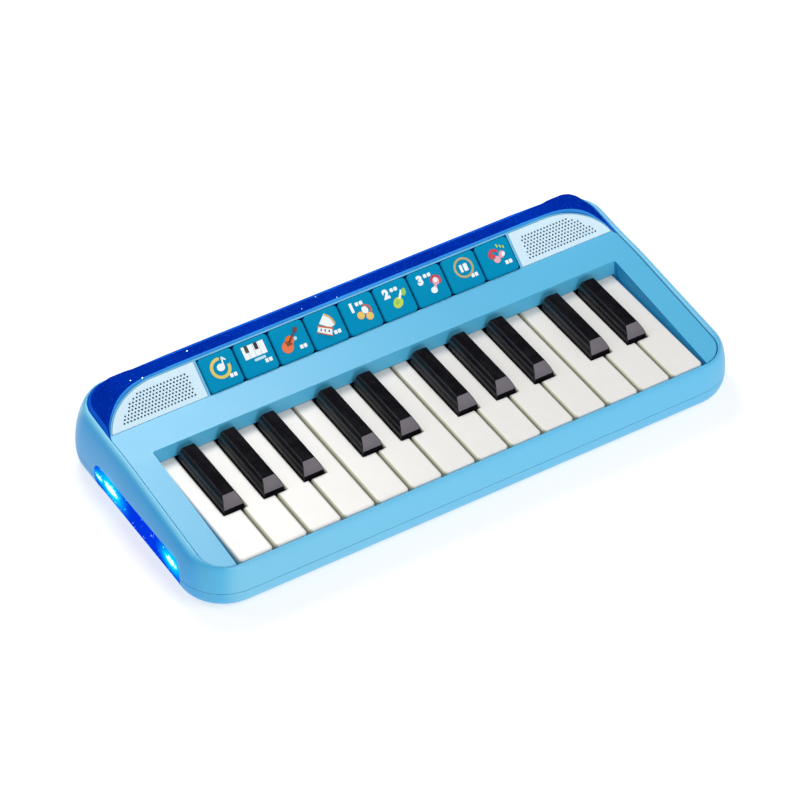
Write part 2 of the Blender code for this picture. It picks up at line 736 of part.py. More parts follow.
def bar_section(outer, inner):
    """A closed section of the bar between its outer and inner edges."""
    top = []
    for share in BAR_SHARES:
        x = outer[0] + (inner[0] - outer[0]) * share
        y = outer[1] + (inner[1] - outer[1]) * share
        top.append((x, y, bar_height(x, y)))
    low = [(x, y, z - BAR_SKIN) for x, y, z in reversed(top)]
    return top + low


def build_light_bar():
    sections = []
    steps = 16
    margin = PANEL_REAR_MARGIN + GAP
    first = math.asin((BAR_TIP_Y + 0.0018 - ARC_CENTRE[1]) / (ARC_RADII[1] + margin))
    for k in range(steps + 1):
        share = k / steps
        inner = arc_point(first + (math.pi / 2 - first) * share ** 0.8, margin)
        outer = bar_outer(share)
        sections.append(bar_section(outer, inner))
    rear_outer = CASE_HALF_DEPTH - RIM_WIDTH[0] - GAP
    for x in (0.06, -0.06):
        sections.append(bar_section((x, rear_outer), (x, REAR_EDGE_Y + margin)))
    left = [[(-x, y, z) for x, y, z in section] for section in reversed(sections[:steps + 1])]
    bar = add_object("light_bar", loft_mesh("light_bar", sections + left), "light")
    shade_smooth(bar, 28)
    return bar


# ---------------------------------------------------------------- keys
def white_edge(number):
    """The x of the joint left of white key number, counted from 0."""
    return (number - WHITE_COUNT / 2) * WHITE_PITCH


def black_centre(joint, shift):
    return white_edge(joint) + shift


def white_outline(number):
    """The key's outline, notched where a black key stands beside it."""
    left = white_edge(number) + (KEY_SIDE_GAP if number else 0.0)
    right = white_edge(number + 1) - (KEY_SIDE_GAP if number + 1 < WHITE_COUNT else 0.0)
    reach = BLACK_HALF_BASE + KEY_SIDE_GAP
    tail_left, tail_right = left, right
    for joint, shift in BLACK_KEYS:
        if joint == number:
            tail_left = black_centre(joint, shift) + reach
        if joint == number + 1:
            tail_right = black_centre(joint, shift) - reach
    points = [(left, KEY_FRONT_Y), (right, KEY_FRONT_Y)]
    if tail_right < right:
        points += [(right, NOTCH_FRONT_Y), (tail_right, NOTCH_FRONT_Y)]
    points += [(tail_right, TAIL_REAR_Y), (tail_left, TAIL_REAR_Y)]
    if tail_left > left:
        points += [(tail_left, NOTCH_FRONT_Y), (left, NOTCH_FRONT_Y)]
    return points, (tail_left + tail_right) / 2


def lug_mesh(centre_x, front_y, top_z):
    """The arm behind a key, which ends in an eye round the pivot rod."""
    low = ROD_Z - LUG_RADIUS
    outline = [(front_y, low), (ROD_Y, low)]
    for k in range(1, 6):
        angle = math.pi * (k / 6 - 0.5)
        outline.append((ROD_Y + LUG_RADIUS * math.cos(angle), ROD_Z + LUG_RADIUS * math.sin(angle)))
    outline += [(ROD_Y, ROD_Z + LUG_RADIUS), (front_y, top_z)]
    half = LUG_WIDTH / 2
    return prism_mesh("lug", outline, centre_x - half, centre_x + half, SIDEWAYS)


def bore_mesh(centre_x):
    ends = [(centre_x + reach, ROD_Y, ROD_Z) for reach in (-LUG_WIDTH, LUG_WIDTH)]
    return cylinder_mesh("bore", BORE_RADIUS, *ends, 10)


def white_shell(name, outline):
    """The outline raised to a block, hollowed from below and rounded along its top edges."""
    top, bottom = KEY_TOP_Z, KEY_TOP_Z - WHITE_HEIGHT
    bm = bmesh.new()
    face = bm.faces.new([bm.verts.new((x, y, bottom)) for x, y in outline])
    raised = bmesh.ops.extrude_face_region(bm, geom=[face])
    upper = [item for item in raised["geom"] if isinstance(item, bmesh.types.BMVert)]
    bmesh.ops.translate(bm, verts=upper, vec=(0.0, 0.0, top - bottom))
    bmesh.ops.recalc_face_normals(bm, faces=bm.faces[:])
    floor = min(bm.faces, key=lambda each: each.calc_center_median().z)
    bmesh.ops.inset_region(bm, faces=[floor], thickness=WHITE_WALL, use_even_offset=True)
    floor = min(bm.faces, key=lambda each: (round(each.calc_center_median().z, 6), -each.calc_area()))
    hollow = bmesh.ops.extrude_face_region(bm, geom=[floor])
    deep = [item for item in hollow["geom"] if isinstance(item, bmesh.types.BMVert)]
    bmesh.ops.translate(bm, verts=deep, vec=(0.0, 0.0, WHITE_HEIGHT - 0.0020))
    bmesh.ops.delete(bm, geom=[floor], context="FACES_ONLY")
    edges = [edge for edge in bm.edges if all(abs(vert.co.z - top) < 1e-6 for vert in edge.verts)]
    bmesh.ops.bevel(
        bm, geom=edges, offset=WHITE_ROUND, segments=2, profile=0.5, affect="EDGES", clamp_overlap=True
    )
    return finished(bm, name)


def set_pivot(key):
    """Put the key's origin on the rod's axis, where it turns."""
    pivot = Vector((0.0, ROD_Y, ROD_Z))
    key.data.transform(Matrix.Translation(-pivot))
    key.matrix_world = Matrix.Translation(pivot)


def build_white_keys():
    for number in range(WHITE_COUNT):
        outline, tail_x = white_outline(number)
        name = f"white_key_{number + 1:02d}_{NOTE_NAMES[number % 7]}"
        key = add_object(name, white_shell(name, outline), "white_key")
        join(key, lug_mesh(tail_x, TAIL_REAR_Y - 0.0012, KEY_TOP_Z - 0.0010))
        cut(key, bore_mesh(tail_x))
        set_pivot(key)
        shade_smooth(key, 40)


def build_black_keys():
    """A straight skirt, with a tapering body whose front slopes back."""
    for number, (joint, shift) in enumerate(BLACK_KEYS):
        middle = black_centre(joint, shift)
        rings = []
        ridge_y = BLACK_FRONT_Y + BLACK_FRONT_SLOPE
        for half, front, rear, z in (
            (BLACK_HALF_BASE, BLACK_FRONT_Y, BLACK_REAR_Y, -BLACK_DEPTH),
            (BLACK_HALF_BASE, BLACK_FRONT_Y, BLACK_REAR_Y, BLACK_SKIRT_TOP),
            (BLACK_HALF_TOP + 0.0003, ridge_y - 0.0004, BLACK_REAR_Y - 0.0006, BLACK_TOP - 0.0005),
            (BLACK_HALF_TOP - 0.0004, ridge_y + 0.0005, BLACK_REAR_Y - 0.0011, BLACK_TOP),
        ):
            ring = rectangle(half, (rear - front) / 2, 0.0008, 2, (middle, (front + rear) / 2))
            rings.append([(x, y, KEY_TOP_Z + z) for x, y in ring])
        name = f"black_key_{number + 1:02d}_{NOTE_NAMES[(joint - 1) % 7]}_sharp"
        key = add_object(name, loft_mesh(name, rings), "black_key")
        hollow_low = (middle - 0.0042, BLACK_FRONT_Y + 0.003, 0.0)
        cut(key, box_mesh("hollow", hollow_low, (middle + 0.0042, 0.004, KEY_TOP_Z + 0.001)))
        join(key, lug_mesh(middle, BLACK_REAR_Y - 0.0030, KEY_TOP_Z - 0.0010))
        cut(key, bore_mesh(middle))
        set_pivot(key)
        shade_smooth(key, 30)


# ---------------------------------------------------------------- inner pieces
def build_key_works():
    rod = cylinder_mesh("rod", ROD_RADIUS, (-0.1560, ROD_Y, ROD_Z), (0.1560, ROD_Y, ROD_Z), 12)
    shade_smooth(add_object("key_pivot_rod", rod, "steel"))
    low = (-BOARD_HALF_X, -0.0350, KEY_BOARD_Z)
    high = (BOARD_HALF_X, 0.0020, KEY_BOARD_Z + BOARD_THICKNESS)
    board = add_object("key_contact_board", box_mesh("board", low, high), "board")
    for x in (-0.120, 0.0, 0.120):
        leg_low = (x - 0.002, -0.030, FOOT_HEIGHT + WALL + GAP)
        join(board, box_mesh("leg", leg_low, (x + 0.002, -0.026, KEY_BOARD_Z + SINK)))
    strip_z = KEY_BOARD_Z + BOARD_THICKNESS + GAP
    low = (GAP * 3 - BOARD_HALF_X, -0.0300, strip_z)
    high = (BOARD_HALF_X - GAP * 3, -0.0080, strip_z + 0.0010)
    strip = add_object("key_dome_strip", box_mesh("strip", low, high), "rubber")
    centres = [(white_edge(number) + WHITE_PITCH / 2, -0.0260) for number in range(WHITE_COUNT)]
    centres += [(black_centre(joint, shift), -0.0140) for joint, shift in BLACK_KEYS]
    for x, y in centres:
        base_z = strip_z + 0.0010 - SINK / 2
        join(strip, cylinder_mesh("dome", 0.0034, (x, y, base_z), (x, y, base_z + DOME_HEIGHT), 8, 0.0022))


def build_button_works():
    """The rubber pad and its board lie under the ramp, parallel to it."""
    pad_z = -PANEL_THICKNESS - GAP - LIP_HEIGHT - BUTTON_TRAVEL - 0.0004
    half_x = BUTTON_COUNT * BUTTON_PITCH / 2 + 0.0010
    middle = RAMP_LENGTH / 2
    outline = rectangle(half_x, 0.0075, 0.0, 1, (0.0, middle))
    add_object("button_pad", prism_mesh("pad", outline, pad_z - PAD_THICKNESS, pad_z, RAMP), "rubber")
    board_z = pad_z - PAD_THICKNESS - GAP
    under_z = board_z - BOARD_THICKNESS
    outline = rectangle(half_x, 0.0082, 0.0, 1, (0.0, middle))
    board = add_object("main_board", prism_mesh("board", outline, under_z, board_z, RAMP), "board")
    for x, half in ((-0.030, 0.006), (0.020, 0.004), (0.060, 0.003)):
        chip = rectangle(half, 0.0035, 0.0, 1, (x, middle))
        join(board, prism_mesh("chip", chip, under_z - 0.0020, under_z + SINK, RAMP))


def build_speakers():
    """Flat oval speakers behind the grilles."""
    for mirror, name in ((-1, "speaker_left"), (1, "speaker_right")):
        centre = (mirror * SPEAKER_X, RAMP_LENGTH / 2)
        top = -PANEL_THICKNESS - GAP
        outline = rectangle(0.0200, 0.0088, 0.0060, 3, centre)
        speaker = add_object(name, prism_mesh(name, outline, top - SPEAKER_DEPTH, top, RAMP), "speaker")
        outline = rectangle(0.0165, 0.0062, 0.0055, 3, centre)
        cut(speaker, prism_mesh("cone", outline, top - SPEAKER_DEPTH / 2, top + 0.001, RAMP))
        magnet = cylinder_mesh("magnet", 0.0070, (0, 0, -0.0062), (0, 0, SINK - SPEAKER_DEPTH), 12)
        magnet.transform(RAMP @ Matrix.Translation((centre[0], centre[1], top)))
        join(speaker, magnet)


def build_light_boards():
    """Narrow boards with the lamps that shine into the clear pieces."""
    z = BAR_BOARD_Z
    plate = box_mesh("strip", (-0.1200, 0.0560, z), (0.1200, 0.0640, z + LIGHT_BOARD_THICKNESS))
    strip = add_object("light_bar_board", plate, "board")
    for k in range(BAR_LAMPS):
        x = (k - (BAR_LAMPS - 1) / 2) * BAR_LAMP_PITCH
        low = (x - 0.002, 0.058, z + LIGHT_BOARD_THICKNESS - SINK)
        join(strip, box_mesh("lamp", low, (x + 0.002, 0.062, z + 0.0032)))
    middle_z = sum(SIDE_LIGHT_Z) / 2
    for side, name in ((-1, "side_light_board_left"), (1, "side_light_board_right")):
        x_out = CASE_HALF_WIDTH - SIDE_LIGHT_DEPTH - 0.0022
        x = sorted((side * x_out, side * (x_out - LIGHT_BOARD_THICKNESS)))
        low = (x[0], SIDE_LIGHT_Y[0] + 0.004, middle_z - 0.0032)
        high = (x[1], SIDE_LIGHT_Y[1] - 0.004, middle_z + 0.0032)
        board = add_object(name, box_mesh(name, low, high), "board")
        for y in (SIDE_LIGHT_Y[0] + SIDE_LAMP_INSET, SIDE_LIGHT_Y[1] - SIDE_LAMP_INSET):
            lamp = sorted((side * (x_out - SINK), side * (x_out + 0.0016)))
            low = (lamp[0], y - 0.0025, middle_z - 0.002)
            join(board, box_mesh("lamp", low, (lamp[1], y + 0.0025, middle_z + 0.002)))


def build_battery_parts():
    (x0, y0), (x1, y1) = BATTERY_BOX
    middle_y = (y0 + y1 - 0.0010) / 2
    cell_z = FOOT_HEIGHT + DOOR_THICKNESS + GAP + CELL_RADIUS
    for number in range(3):
        y = middle_y + (number - 1) * CELL_PITCH
        name = f"battery_{number + 1}"
        shoulder = CELL_LENGTH / 2 - CELL_NUB
        body = cylinder_mesh(name, CELL_RADIUS, (-CELL_LENGTH / 2, y, cell_z), (shoulder, y, cell_z), 14)
        cell = add_object(name, body, "cell")
        nub = (shoulder - SINK, y, cell_z), (CELL_LENGTH / 2, y, cell_z)
        join(cell, cylinder_mesh("nub", 0.0027, *nub, 10))
        shade_smooth(cell)
    for side, name in ((-1, "battery_contact_left"), (1, "battery_contact_right")):
        x = sorted((side * (x1 - 0.0004), side * (x1 - 0.0012)))
        low = (x[0], y0 + 0.0010, FOOT_HEIGHT + DOOR_THICKNESS + 0.0016)
        plate = add_object(name, box_mesh(name, low, (x[1], y1 - 0.0022, BATTERY_BOX_TOP - 0.0026)), "steel")
        for number in range(3):
            y = middle_y + (number - 1) * CELL_PITCH
            tip = side * (CELL_LENGTH / 2 + 0.0006)
            root = side * (x1 - 0.0008)
            join(plate, cylinder_mesh("nib", 0.0030, (root, y, cell_z), (tip, y, cell_z), 8, 0.0018))
    (dx0, dy0), (dx1, dy1) = DOOR
    door_low = (dx0 + GAP, dy0 + GAP, FOOT_HEIGHT)
    door_high = (dx1 - GAP, dy1 - GAP, FOOT_HEIGHT + DOOR_THICKNESS)
    door = add_object("battery_door", box_mesh("door", door_low, door_high), "base")
    sx, sy = DOOR_SCREW
    cut(door, cylinder_mesh("hole", 0.0016, (sx, sy, 0.0), (sx, sy, 0.01), 10))
    cut(door, cylinder_mesh("sink", 0.0030, (sx, sy, 0.0), (sx, sy, FOOT_HEIGHT + 0.0007), 12))
    head_z = FOOT_HEIGHT + 0.0007 - GAP
    screw = add_object(
        "battery_door_screw",
        cylinder_mesh("shank", 0.0012, (sx, sy, FOOT_HEIGHT), (sx, sy, DOOR_SCREW_TOP), 10), "steel",
    )
    join(screw, cylinder_mesh("head", 0.0026, (sx, sy, FOOT_HEIGHT - 0.0003), (sx, sy, head_z), 12))


def build_power_switch():
    """A slide knob in the underside, and the switch's body above it."""
    floor_z = FOOT_HEIGHT + WALL
    low = (SWITCH_X - 0.0024, SWITCH_Y - 0.0022, FOOT_HEIGHT - 0.0006)
    stem = box_mesh("knob", low, (SWITCH_X + 0.0024, SWITCH_Y + 0.0022, 0.0062))
    knob = add_object("power_switch_knob", stem, "dark")
    flange_z = floor_z + GAP
    low = (SWITCH_X - 0.0050, SWITCH_Y - 0.0042, flange_z)
    join(knob, box_mesh("flange", low, (SWITCH_X + 0.0050, SWITCH_Y + 0.0042, flange_z + 0.0010)))
    body = box_mesh(
        "body", (SWITCH_X - 0.0090, SWITCH_Y - 0.0040, 0.0066), (SWITCH_X + 0.0060, SWITCH_Y + 0.0040, 0.0120)
    )
    add_object("power_switch_body", body, "steel")


build_lower_case()
build_upper_case()
build_side_lights()
build_top_panel()
build_grilles()
build_buttons()
build_light_bar()
build_white_keys()
build_black_keys()
build_key_works()
build_button_works()
build_speakers()
build_light_boards()
build_battery_parts()
build_power_switch()
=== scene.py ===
"""The looks of a toy electronic keyboard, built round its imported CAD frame.

All sizes are in metres in the CAD's frame: the origin is under the middle of the case, +X runs along
the keys to the high notes, -Y is the player's side and +Z is up.
"""

import math

import bmesh
import bpy
from mathutils import Matrix, Vector
from mathutils.kdtree import KDTree


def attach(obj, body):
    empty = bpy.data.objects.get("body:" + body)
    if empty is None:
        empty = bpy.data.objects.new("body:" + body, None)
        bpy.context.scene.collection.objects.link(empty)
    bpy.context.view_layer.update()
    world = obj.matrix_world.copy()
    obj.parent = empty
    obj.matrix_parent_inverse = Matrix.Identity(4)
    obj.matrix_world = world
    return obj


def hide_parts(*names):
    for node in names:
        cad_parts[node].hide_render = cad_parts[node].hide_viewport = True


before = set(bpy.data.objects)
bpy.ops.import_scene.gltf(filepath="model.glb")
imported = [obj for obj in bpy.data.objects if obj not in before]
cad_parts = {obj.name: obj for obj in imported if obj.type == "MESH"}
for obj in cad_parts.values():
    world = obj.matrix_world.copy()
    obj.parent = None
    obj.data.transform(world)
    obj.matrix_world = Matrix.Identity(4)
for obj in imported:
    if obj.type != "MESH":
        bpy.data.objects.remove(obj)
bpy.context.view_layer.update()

# ---------------------------------------------------------------- dimensions, as in the CAD
GAP = 0.0003
WHITE_PITCH = 0.0205
WHITE_COUNT = 14
KEY_TOP_Z = 0.0281
KEY_FRONT_Y = -0.0775
HALF_WIDTH = 0.1686
HALF_DEPTH = 0.08215
FRONT_RADIUS = 0.0283
REAR_RADIUS = 0.0267
FOOT = 0.0014
PARTING_Z = 0.0110
WALL = 0.0022
RIM = (0.0087, 0.0040, 0.0087)
CREST = (0.0077, 0.0031, 0.0077)
BASE_INSET = 0.0045
SEAM_FRONT_RADIUS = 0.0154
RIM_POWER = 2 / 1.9
BASE_POWER = 2 / 2.2
CREST_RISE = 0.0005
REAR_FALL_Y = (0.0550, 0.0750)
SEAM = ((-0.0782, 0.0273), (0.0133, 0.0364), (0.0332, 0.0369), (0.0735, 0.0404))
SEAM_BLEND = 0.0050

PANEL = 0.0024
RAMP_Y, RAMP_Z = 0.0352, 0.0370
RAMP_RUN, RAMP_RISE = 0.0161, 0.0134
RAMP_ANGLE = math.atan2(RAMP_RISE, RAMP_RUN)
RAMP_LENGTH = math.hypot(RAMP_RUN, RAMP_RISE)
RAMP = Matrix.Translation((0.0, RAMP_Y, RAMP_Z)) @ Matrix.Rotation(RAMP_ANGLE, 4, "X")
RAMP_MARGIN = 0.0003

WELL_TOP, WELL_LOW = 0.1457, 0.1439
WELL_REAR_TOP, WELL_REAR_LOW = 0.0133, 0.0104
SKIRT_DEPTH = 0.0060
SKIRT = 0.0016

KEY_GAP = 0.0006
WHITE_HEIGHT = 0.0120
NOTCH_Y = -0.0423
TAIL_Y = 0.0182
BLACK_BASE, BLACK_TOP_HALF = 0.00605, 0.0036
BLACK_FRONT, BLACK_REAR = -0.0416, 0.0092
BLACK_SKIRT, BLACK_TOP, BLACK_DEPTH = 0.0024, 0.0076, 0.0085
BLACK_SLOPE = 0.0057
BLACK_PAINTED_HIGHLIGHT_SHARES = (0.30, 0.55)
WHITE_EDGE, WHITE_CORNER = 0.0013, 0.0024
ROD_Y, ROD_Z = 0.0280, 0.0232
BORE, LUG_RADIUS, LUG_WIDTH = 0.0016, 0.0031, 0.0058
BLACK_KEYS = (
    (1, -0.0039), (2, -0.0003), (3, 0.0034), (5, -0.0016), (6, 0.0015),
    (8, -0.0039), (9, -0.0003), (10, 0.0034), (12, -0.0016), (13, 0.0015),
)
NOTES = ("f", "g", "a", "b", "c", "d", "e")

BUTTONS = 9
BUTTON_PITCH, BUTTON_WIDTH, BUTTON_LENGTH = 0.0218, 0.0209, 0.0200
BUTTON_PROUD, BUTTON_CORNER, BUTTON_LIP, LIP_HEIGHT = 0.0009, 0.0022, 0.0009, 0.0012
GRILLE_INNER = 0.0994
GRILLE_THICKNESS, GRILLE_RECESS = 0.0012, 0.0015
ARC_CENTRE, ARC_RADII = (0.1230, 0.0299), (0.0360, 0.0214)
REAR_EDGE = ARC_CENTRE[1] + ARC_RADII[1]
PANEL_REAR_MARGIN = 0.0006
BAR_CREST, BAR_SLOPE, BAR_SKIN, BAR_TIP_Y = 0.0514, 1.20, 0.0022, 0.0322
SIDE_Y, SIDE_Z, SIDE_DEPTH = (-0.0555, 0.0400), (0.0030, 0.0206), 0.0046

SCREW_WELLS = (
    (-0.145, -0.062), (0.145, -0.062), (-0.050, -0.070), (0.050, -0.070),
    (-0.145, 0.062), (0.145, 0.062), (-0.075, 0.066), (0.075, 0.066),
)
DOOR = ((-0.0330, 0.0262), (0.0330, 0.0770))
DOOR_THICKNESS = 0.0014
DOOR_SCREW = (0.0, 0.0296)
SWITCH = (0.1080, 0.0560)
SIDEWAYS = Matrix(((0, 0, 1, 0), (1, 0, 0, 0), (0, 1, 0, 0), (0, 0, 0, 1)))


# ---------------------------------------------------------------- mesh helpers
def quarter(steps):
    """The cosine and sine at each step of a quarter turn."""
    angles = [math.pi / 2 * k / steps for k in range(steps + 1)]
    return [(max(0.0, math.cos(angle)), math.sin(angle)) for angle in angles]


def circle(sides):
    return [(math.cos(math.tau * k / sides), math.sin(math.tau * k / sides)) for k in range(sides)]


def share_of(value, low, high):
    return min(max((value - low) / (high - low), 0.0), 1.0)


def eased(value, low, high):
    """0 at low and 1 at high, smooth at both ends."""
    share = share_of(value, low, high)
    return share * share * (3 - 2 * share)


def finished(bm):
    bmesh.ops.recalc_face_normals(bm, faces=bm.faces[:])
    mesh = bpy.data.meshes.new("mesh")
    bm.to_mesh(mesh)
    bm.free()
    return mesh


def add(name, data):
    thing = bpy.data.objects.new(name, data)
    bpy.context.scene.collection.objects.link(thing)
    return thing


def piece(name, mesh, body, slot, surface, node=None, angle=35.0, flat=False):
    """A finished piece: smooth shading, material, body and the CAD node that it stands for; slot is not used.
    With flat, its broad faces keep their own normals and the narrow bevels take up the turn."""
    thing = mesh if isinstance(mesh, bpy.types.Object) else add(name, mesh)
    thing.name = name
    thing.data.materials.clear()
    thing.data.materials.append(surface)
    thing.data.shade_smooth()
    thing.data.set_sharp_from_angle(angle=math.radians(angle))
    if flat:
        step = thing.modifiers.new("normals", "WEIGHTED_NORMAL")
        step.keep_sharp = True
        bake_modifiers(thing)
    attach(thing, body)
    if node:
        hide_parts(node)
    return thing


def more_looks(thing, surfaces, choose):
    """Further materials on one piece; choose gives each face its material's number."""
    for surface in surfaces:
        thing.data.materials.append(surface)
    for face in thing.data.polygons:
        face.material_index = choose(face)


def skin(bm, rings, around=False):
    """Faces between rings of points, with both ends closed unless the rings run around."""
    rows = [[bm.verts.new(point) for point in ring] for ring in rings]
    for low, high in zip(rows, rows[1:] + rows[:around]):
        for i in range(len(low)):
            j = (i + 1) % len(low)
            bm.faces.new((low[i], low[j], high[j], high[i]))
    if not around:
        bm.faces.new(list(reversed(rows[0])))
        bm.faces.new(rows[-1])


def loft(rings, around=False):
    bm = bmesh.new()
    skin(bm, rings, around)
    return finished(bm)


def prism(outline, low, high, place=None):
    bm = bmesh.new()
    face = bm.faces.new([bm.verts.new((x, y, low)) for x, y in outline])
    raised = bmesh.ops.extrude_face_region(bm, geom=[face])
    top = [item for item in raised["geom"] if isinstance(item, bmesh.types.BMVert)]
    bmesh.ops.translate(bm, verts=top, vec=(0.0, 0.0, high - low))
    if place:
        bmesh.ops.transform(bm, matrix=place, verts=bm.verts[:])
    return finished(bm)


def box(low, high):
    outline = [(low[0], low[1]), (high[0], low[1]), (high[0], high[1]), (low[0], high[1])]
    return prism(outline, low[2], high[2])


def cylinder(radius, start, end, sides, radius_end=None):
    start, end = Vector(start), Vector(end)
    turn = (end - start).to_track_quat("Z", "Y").to_matrix().to_4x4()
    place = Matrix.Translation(start) @ turn
    ends = (radius, 0.0), (radius if radius_end is None else radius_end, (end - start).length)
    return loft([
        [place @ Vector((size * across, size * up, height)) for across, up in circle(sides)]
        for size, height in ends
    ])


def evaluated_mesh(thing):
    bpy.context.view_layer.update()
    return bpy.data.meshes.new_from_object(thing.evaluated_get(bpy.context.evaluated_depsgraph_get()))


def bake_modifiers(thing):
    result = evaluated_mesh(thing)
    thing.modifiers.clear()
    thing.data = result


def boolean(thing, tools, operation="DIFFERENCE"):
    for mesh in tools:
        tool = add("tool", mesh)
        step = thing.modifiers.new("boolean", "BOOLEAN")
        step.operation = operation
        step.solver = "EXACT"
        step.object = tool
        bake_modifiers(thing)
        bpy.data.objects.remove(tool, do_unlink=True)


def bevelled(thing, width):
    step = thing.modifiers.new("bevel", "BEVEL")
    step.width = width
    step.segments = 2
    step.limit_method = "ANGLE"
    step.angle_limit = math.radians(30.0)
    step.miter_outer = "MITER_ARC"
    bake_modifiers(thing)


def round_corners(outline, radii, steps=6):
    points = []
    count = len(outline)
    for i, radius in enumerate(radii):
        here = Vector(outline[i])
        if radius <= 0.0:
            points.append(tuple(here))
            continue
        back = (Vector(outline[i - 1]) - here).normalized()
        ahead = (Vector(outline[(i + 1) % count]) - here).normalized()
        half = back.angle(ahead) / 2
        reach = radius / math.tan(half)
        centre = here + (back + ahead).normalized() * radius / math.sin(half)
        first = here + back * reach - centre
        sweep = first.angle_signed(here + ahead * reach - centre)
        for k in range(steps + 1):
            spoke = first.copy()
            spoke.rotate(Matrix.Rotation(-sweep * k / steps, 2))
            points.append(tuple(centre + spoke))
    return points


def rectangle(half_x, half_y, radius=0.0, steps=6, centre=(0.0, 0.0)):
    cx, cy = centre
    corners = [(cx + sx * half_x, cy + sy * half_y) for sx, sy in ((1, -1), (1, 1), (-1, 1), (-1, -1))]
    return round_corners(corners, [radius] * 4, steps)


def between(low, high, grow=0.0, radius=0.0, steps=1):
    """A rectangle between two corners."""
    (x0, y0), (x1, y1) = low, high
    middle = ((x0 + x1) / 2, (y0 + y1) / 2)
    return rectangle((x1 - x0) / 2 + grow, (y1 - y0) / 2 + grow, radius, steps, middle)


# ---------------------------------------------------------------- materials
def put(tree, socket, value):
    """Gives a socket its value, or links it to the output that the value comes from."""
    if isinstance(value, bpy.types.NodeSocket):
        tree.links.new(value, socket)
    elif socket.type == "RGBA":
        socket.default_value = (*value, 1.0)
    else:
        socket.default_value = value


def new_node(tree, kind, inputs=(), **settings):
    """A shader node with its inputs filled by name or number."""
    made = tree.nodes.new("ShaderNode" + kind)
    for key, value in settings.items():
        setattr(made, key, value)
    for key, value in dict(inputs).items():
        put(tree, made.inputs[key], value)
    return made


def dress(tree, values):
    for key, value in values.items():
        put(tree, tree.nodes["Principled BSDF"].inputs[key], value)


def math_node(tree, operation, *values):
    return new_node(tree, "Math", enumerate(values), operation=operation).outputs[0]


def times(tree, first, *others):
    for other in others:
        first = math_node(tree, "MULTIPLY", first, other)
    return first


def ramp_node(tree, factor, low, high, to_low=0.0, to_high=1.0, smooth=True):
    inputs = {"Value": factor, "From Min": low, "From Max": high, "To Min": to_low, "To Max": to_high}
    kind = "SMOOTHSTEP" if smooth else "LINEAR"
    return new_node(tree, "MapRange", inputs, interpolation_type=kind).outputs["Result"]


def mix_colour(tree, factor, first, second):
    return new_node(tree, "Mix", {0: factor, 6: first, 7: second}, data_type="RGBA").outputs[2]


def noise(tree, coords, scale, detail=2.0, rough=0.5, stretch=None):
    if stretch:
        coords = new_node(tree, "Mapping", {"Vector": coords, "Scale": stretch}).outputs["Vector"]
    inputs = {"Vector": coords, "Scale": scale, "Detail": detail, "Roughness": rough}
    return new_node(tree, "TexNoise", inputs).outputs[0]


def distance_to(tree, coords, centre, stretch):
    """How far a point is from a centre, after scaling each axis."""
    shift = new_node(tree, "VectorMath", {0: coords, 1: centre}, operation="SUBTRACT").outputs[0]
    scale = new_node(tree, "VectorMath", {0: shift, 1: stretch}, operation="MULTIPLY").outputs[0]
    return new_node(tree, "VectorMath", {0: scale}, operation="LENGTH").outputs["Value"]


def cells(tree, coords, scale):
    """Random flakes: the distance inside each cell, and the cell's own random numbers."""
    found = new_node(tree, "TexVoronoi", {"Vector": coords, "Scale": scale})
    pick = new_node(tree, "SeparateColor", {"Color": found.outputs["Color"]})
    return found.outputs["Distance"], pick.outputs


def start_material(name):
    made = bpy.data.materials.new(name)
    made.use_nodes = True
    tree = made.node_tree
    return made, tree, new_node(tree, "TexCoord").outputs["Object"]


def plastic(name, colour, roughness=0.35, specular=0.5, coat=0.0, vary=0.03, rough_vary=0.06,
            grain=0.0, grain_scale=1800.0, wear=0.12, wear_colour=(0.9, 0.95, 1.0)):
    """Moulded plastic: cloudy colour, uneven gloss, a fine grain and paler, rubbed edges."""
    made, tree, coords = start_material(name)
    dark = tuple(value * (1.0 - vary) for value in colour)
    light = tuple(min(1.0, value * (1.0 + vary)) for value in colour)
    base = mix_colour(tree, noise(tree, coords, 22.0, 3.0), dark, light)
    edge = ramp_node(tree, new_node(tree, "NewGeometry").outputs["Pointiness"], 0.515, 0.60)
    patches = ramp_node(tree, noise(tree, coords, 160.0, 4.0), 0.35, 0.65)
    smears = noise(tree, coords, 75.0, 4.0, 0.6)
    dress(tree, {
        "Base Color": mix_colour(tree, times(tree, edge, wear, patches), base, wear_colour),
        "Roughness": ramp_node(tree, smears, 0.3, 0.7, roughness - rough_vary, roughness + rough_vary),
        "Specular IOR Level": specular, "Coat Weight": coat, "Coat Roughness": 0.1,
    })
    if grain:
        height = noise(tree, coords, grain_scale, 2.0)
        bump = new_node(tree, "Bump", {"Strength": grain, "Distance": 0.0002, "Height": height})
        dress(tree, {"Normal": bump.outputs["Normal"]})
    return made


# The lamps in each side wall: y, z and relative size.
LAMPS = ((0.0210, 0.0143, 1.0), (0.0344, 0.0127, 0.45), (-0.0462, 0.0156, 0.8))


def lamp_glow(tree, coords, reach, stretch, inner):
    """1 within inner of a side lamp, falling to 0 at reach, on both sides of the case."""
    total = None
    for side in (-1, 1):
        for y, z, size in LAMPS:
            away = distance_to(tree, coords, (side * HALF_WIDTH, y, z), stretch)
            near = ramp_node(tree, away, inner * size, reach * size, 1.0, 0.0)
            total = near if total is None else math_node(tree, "MAXIMUM", total, near)
    return total
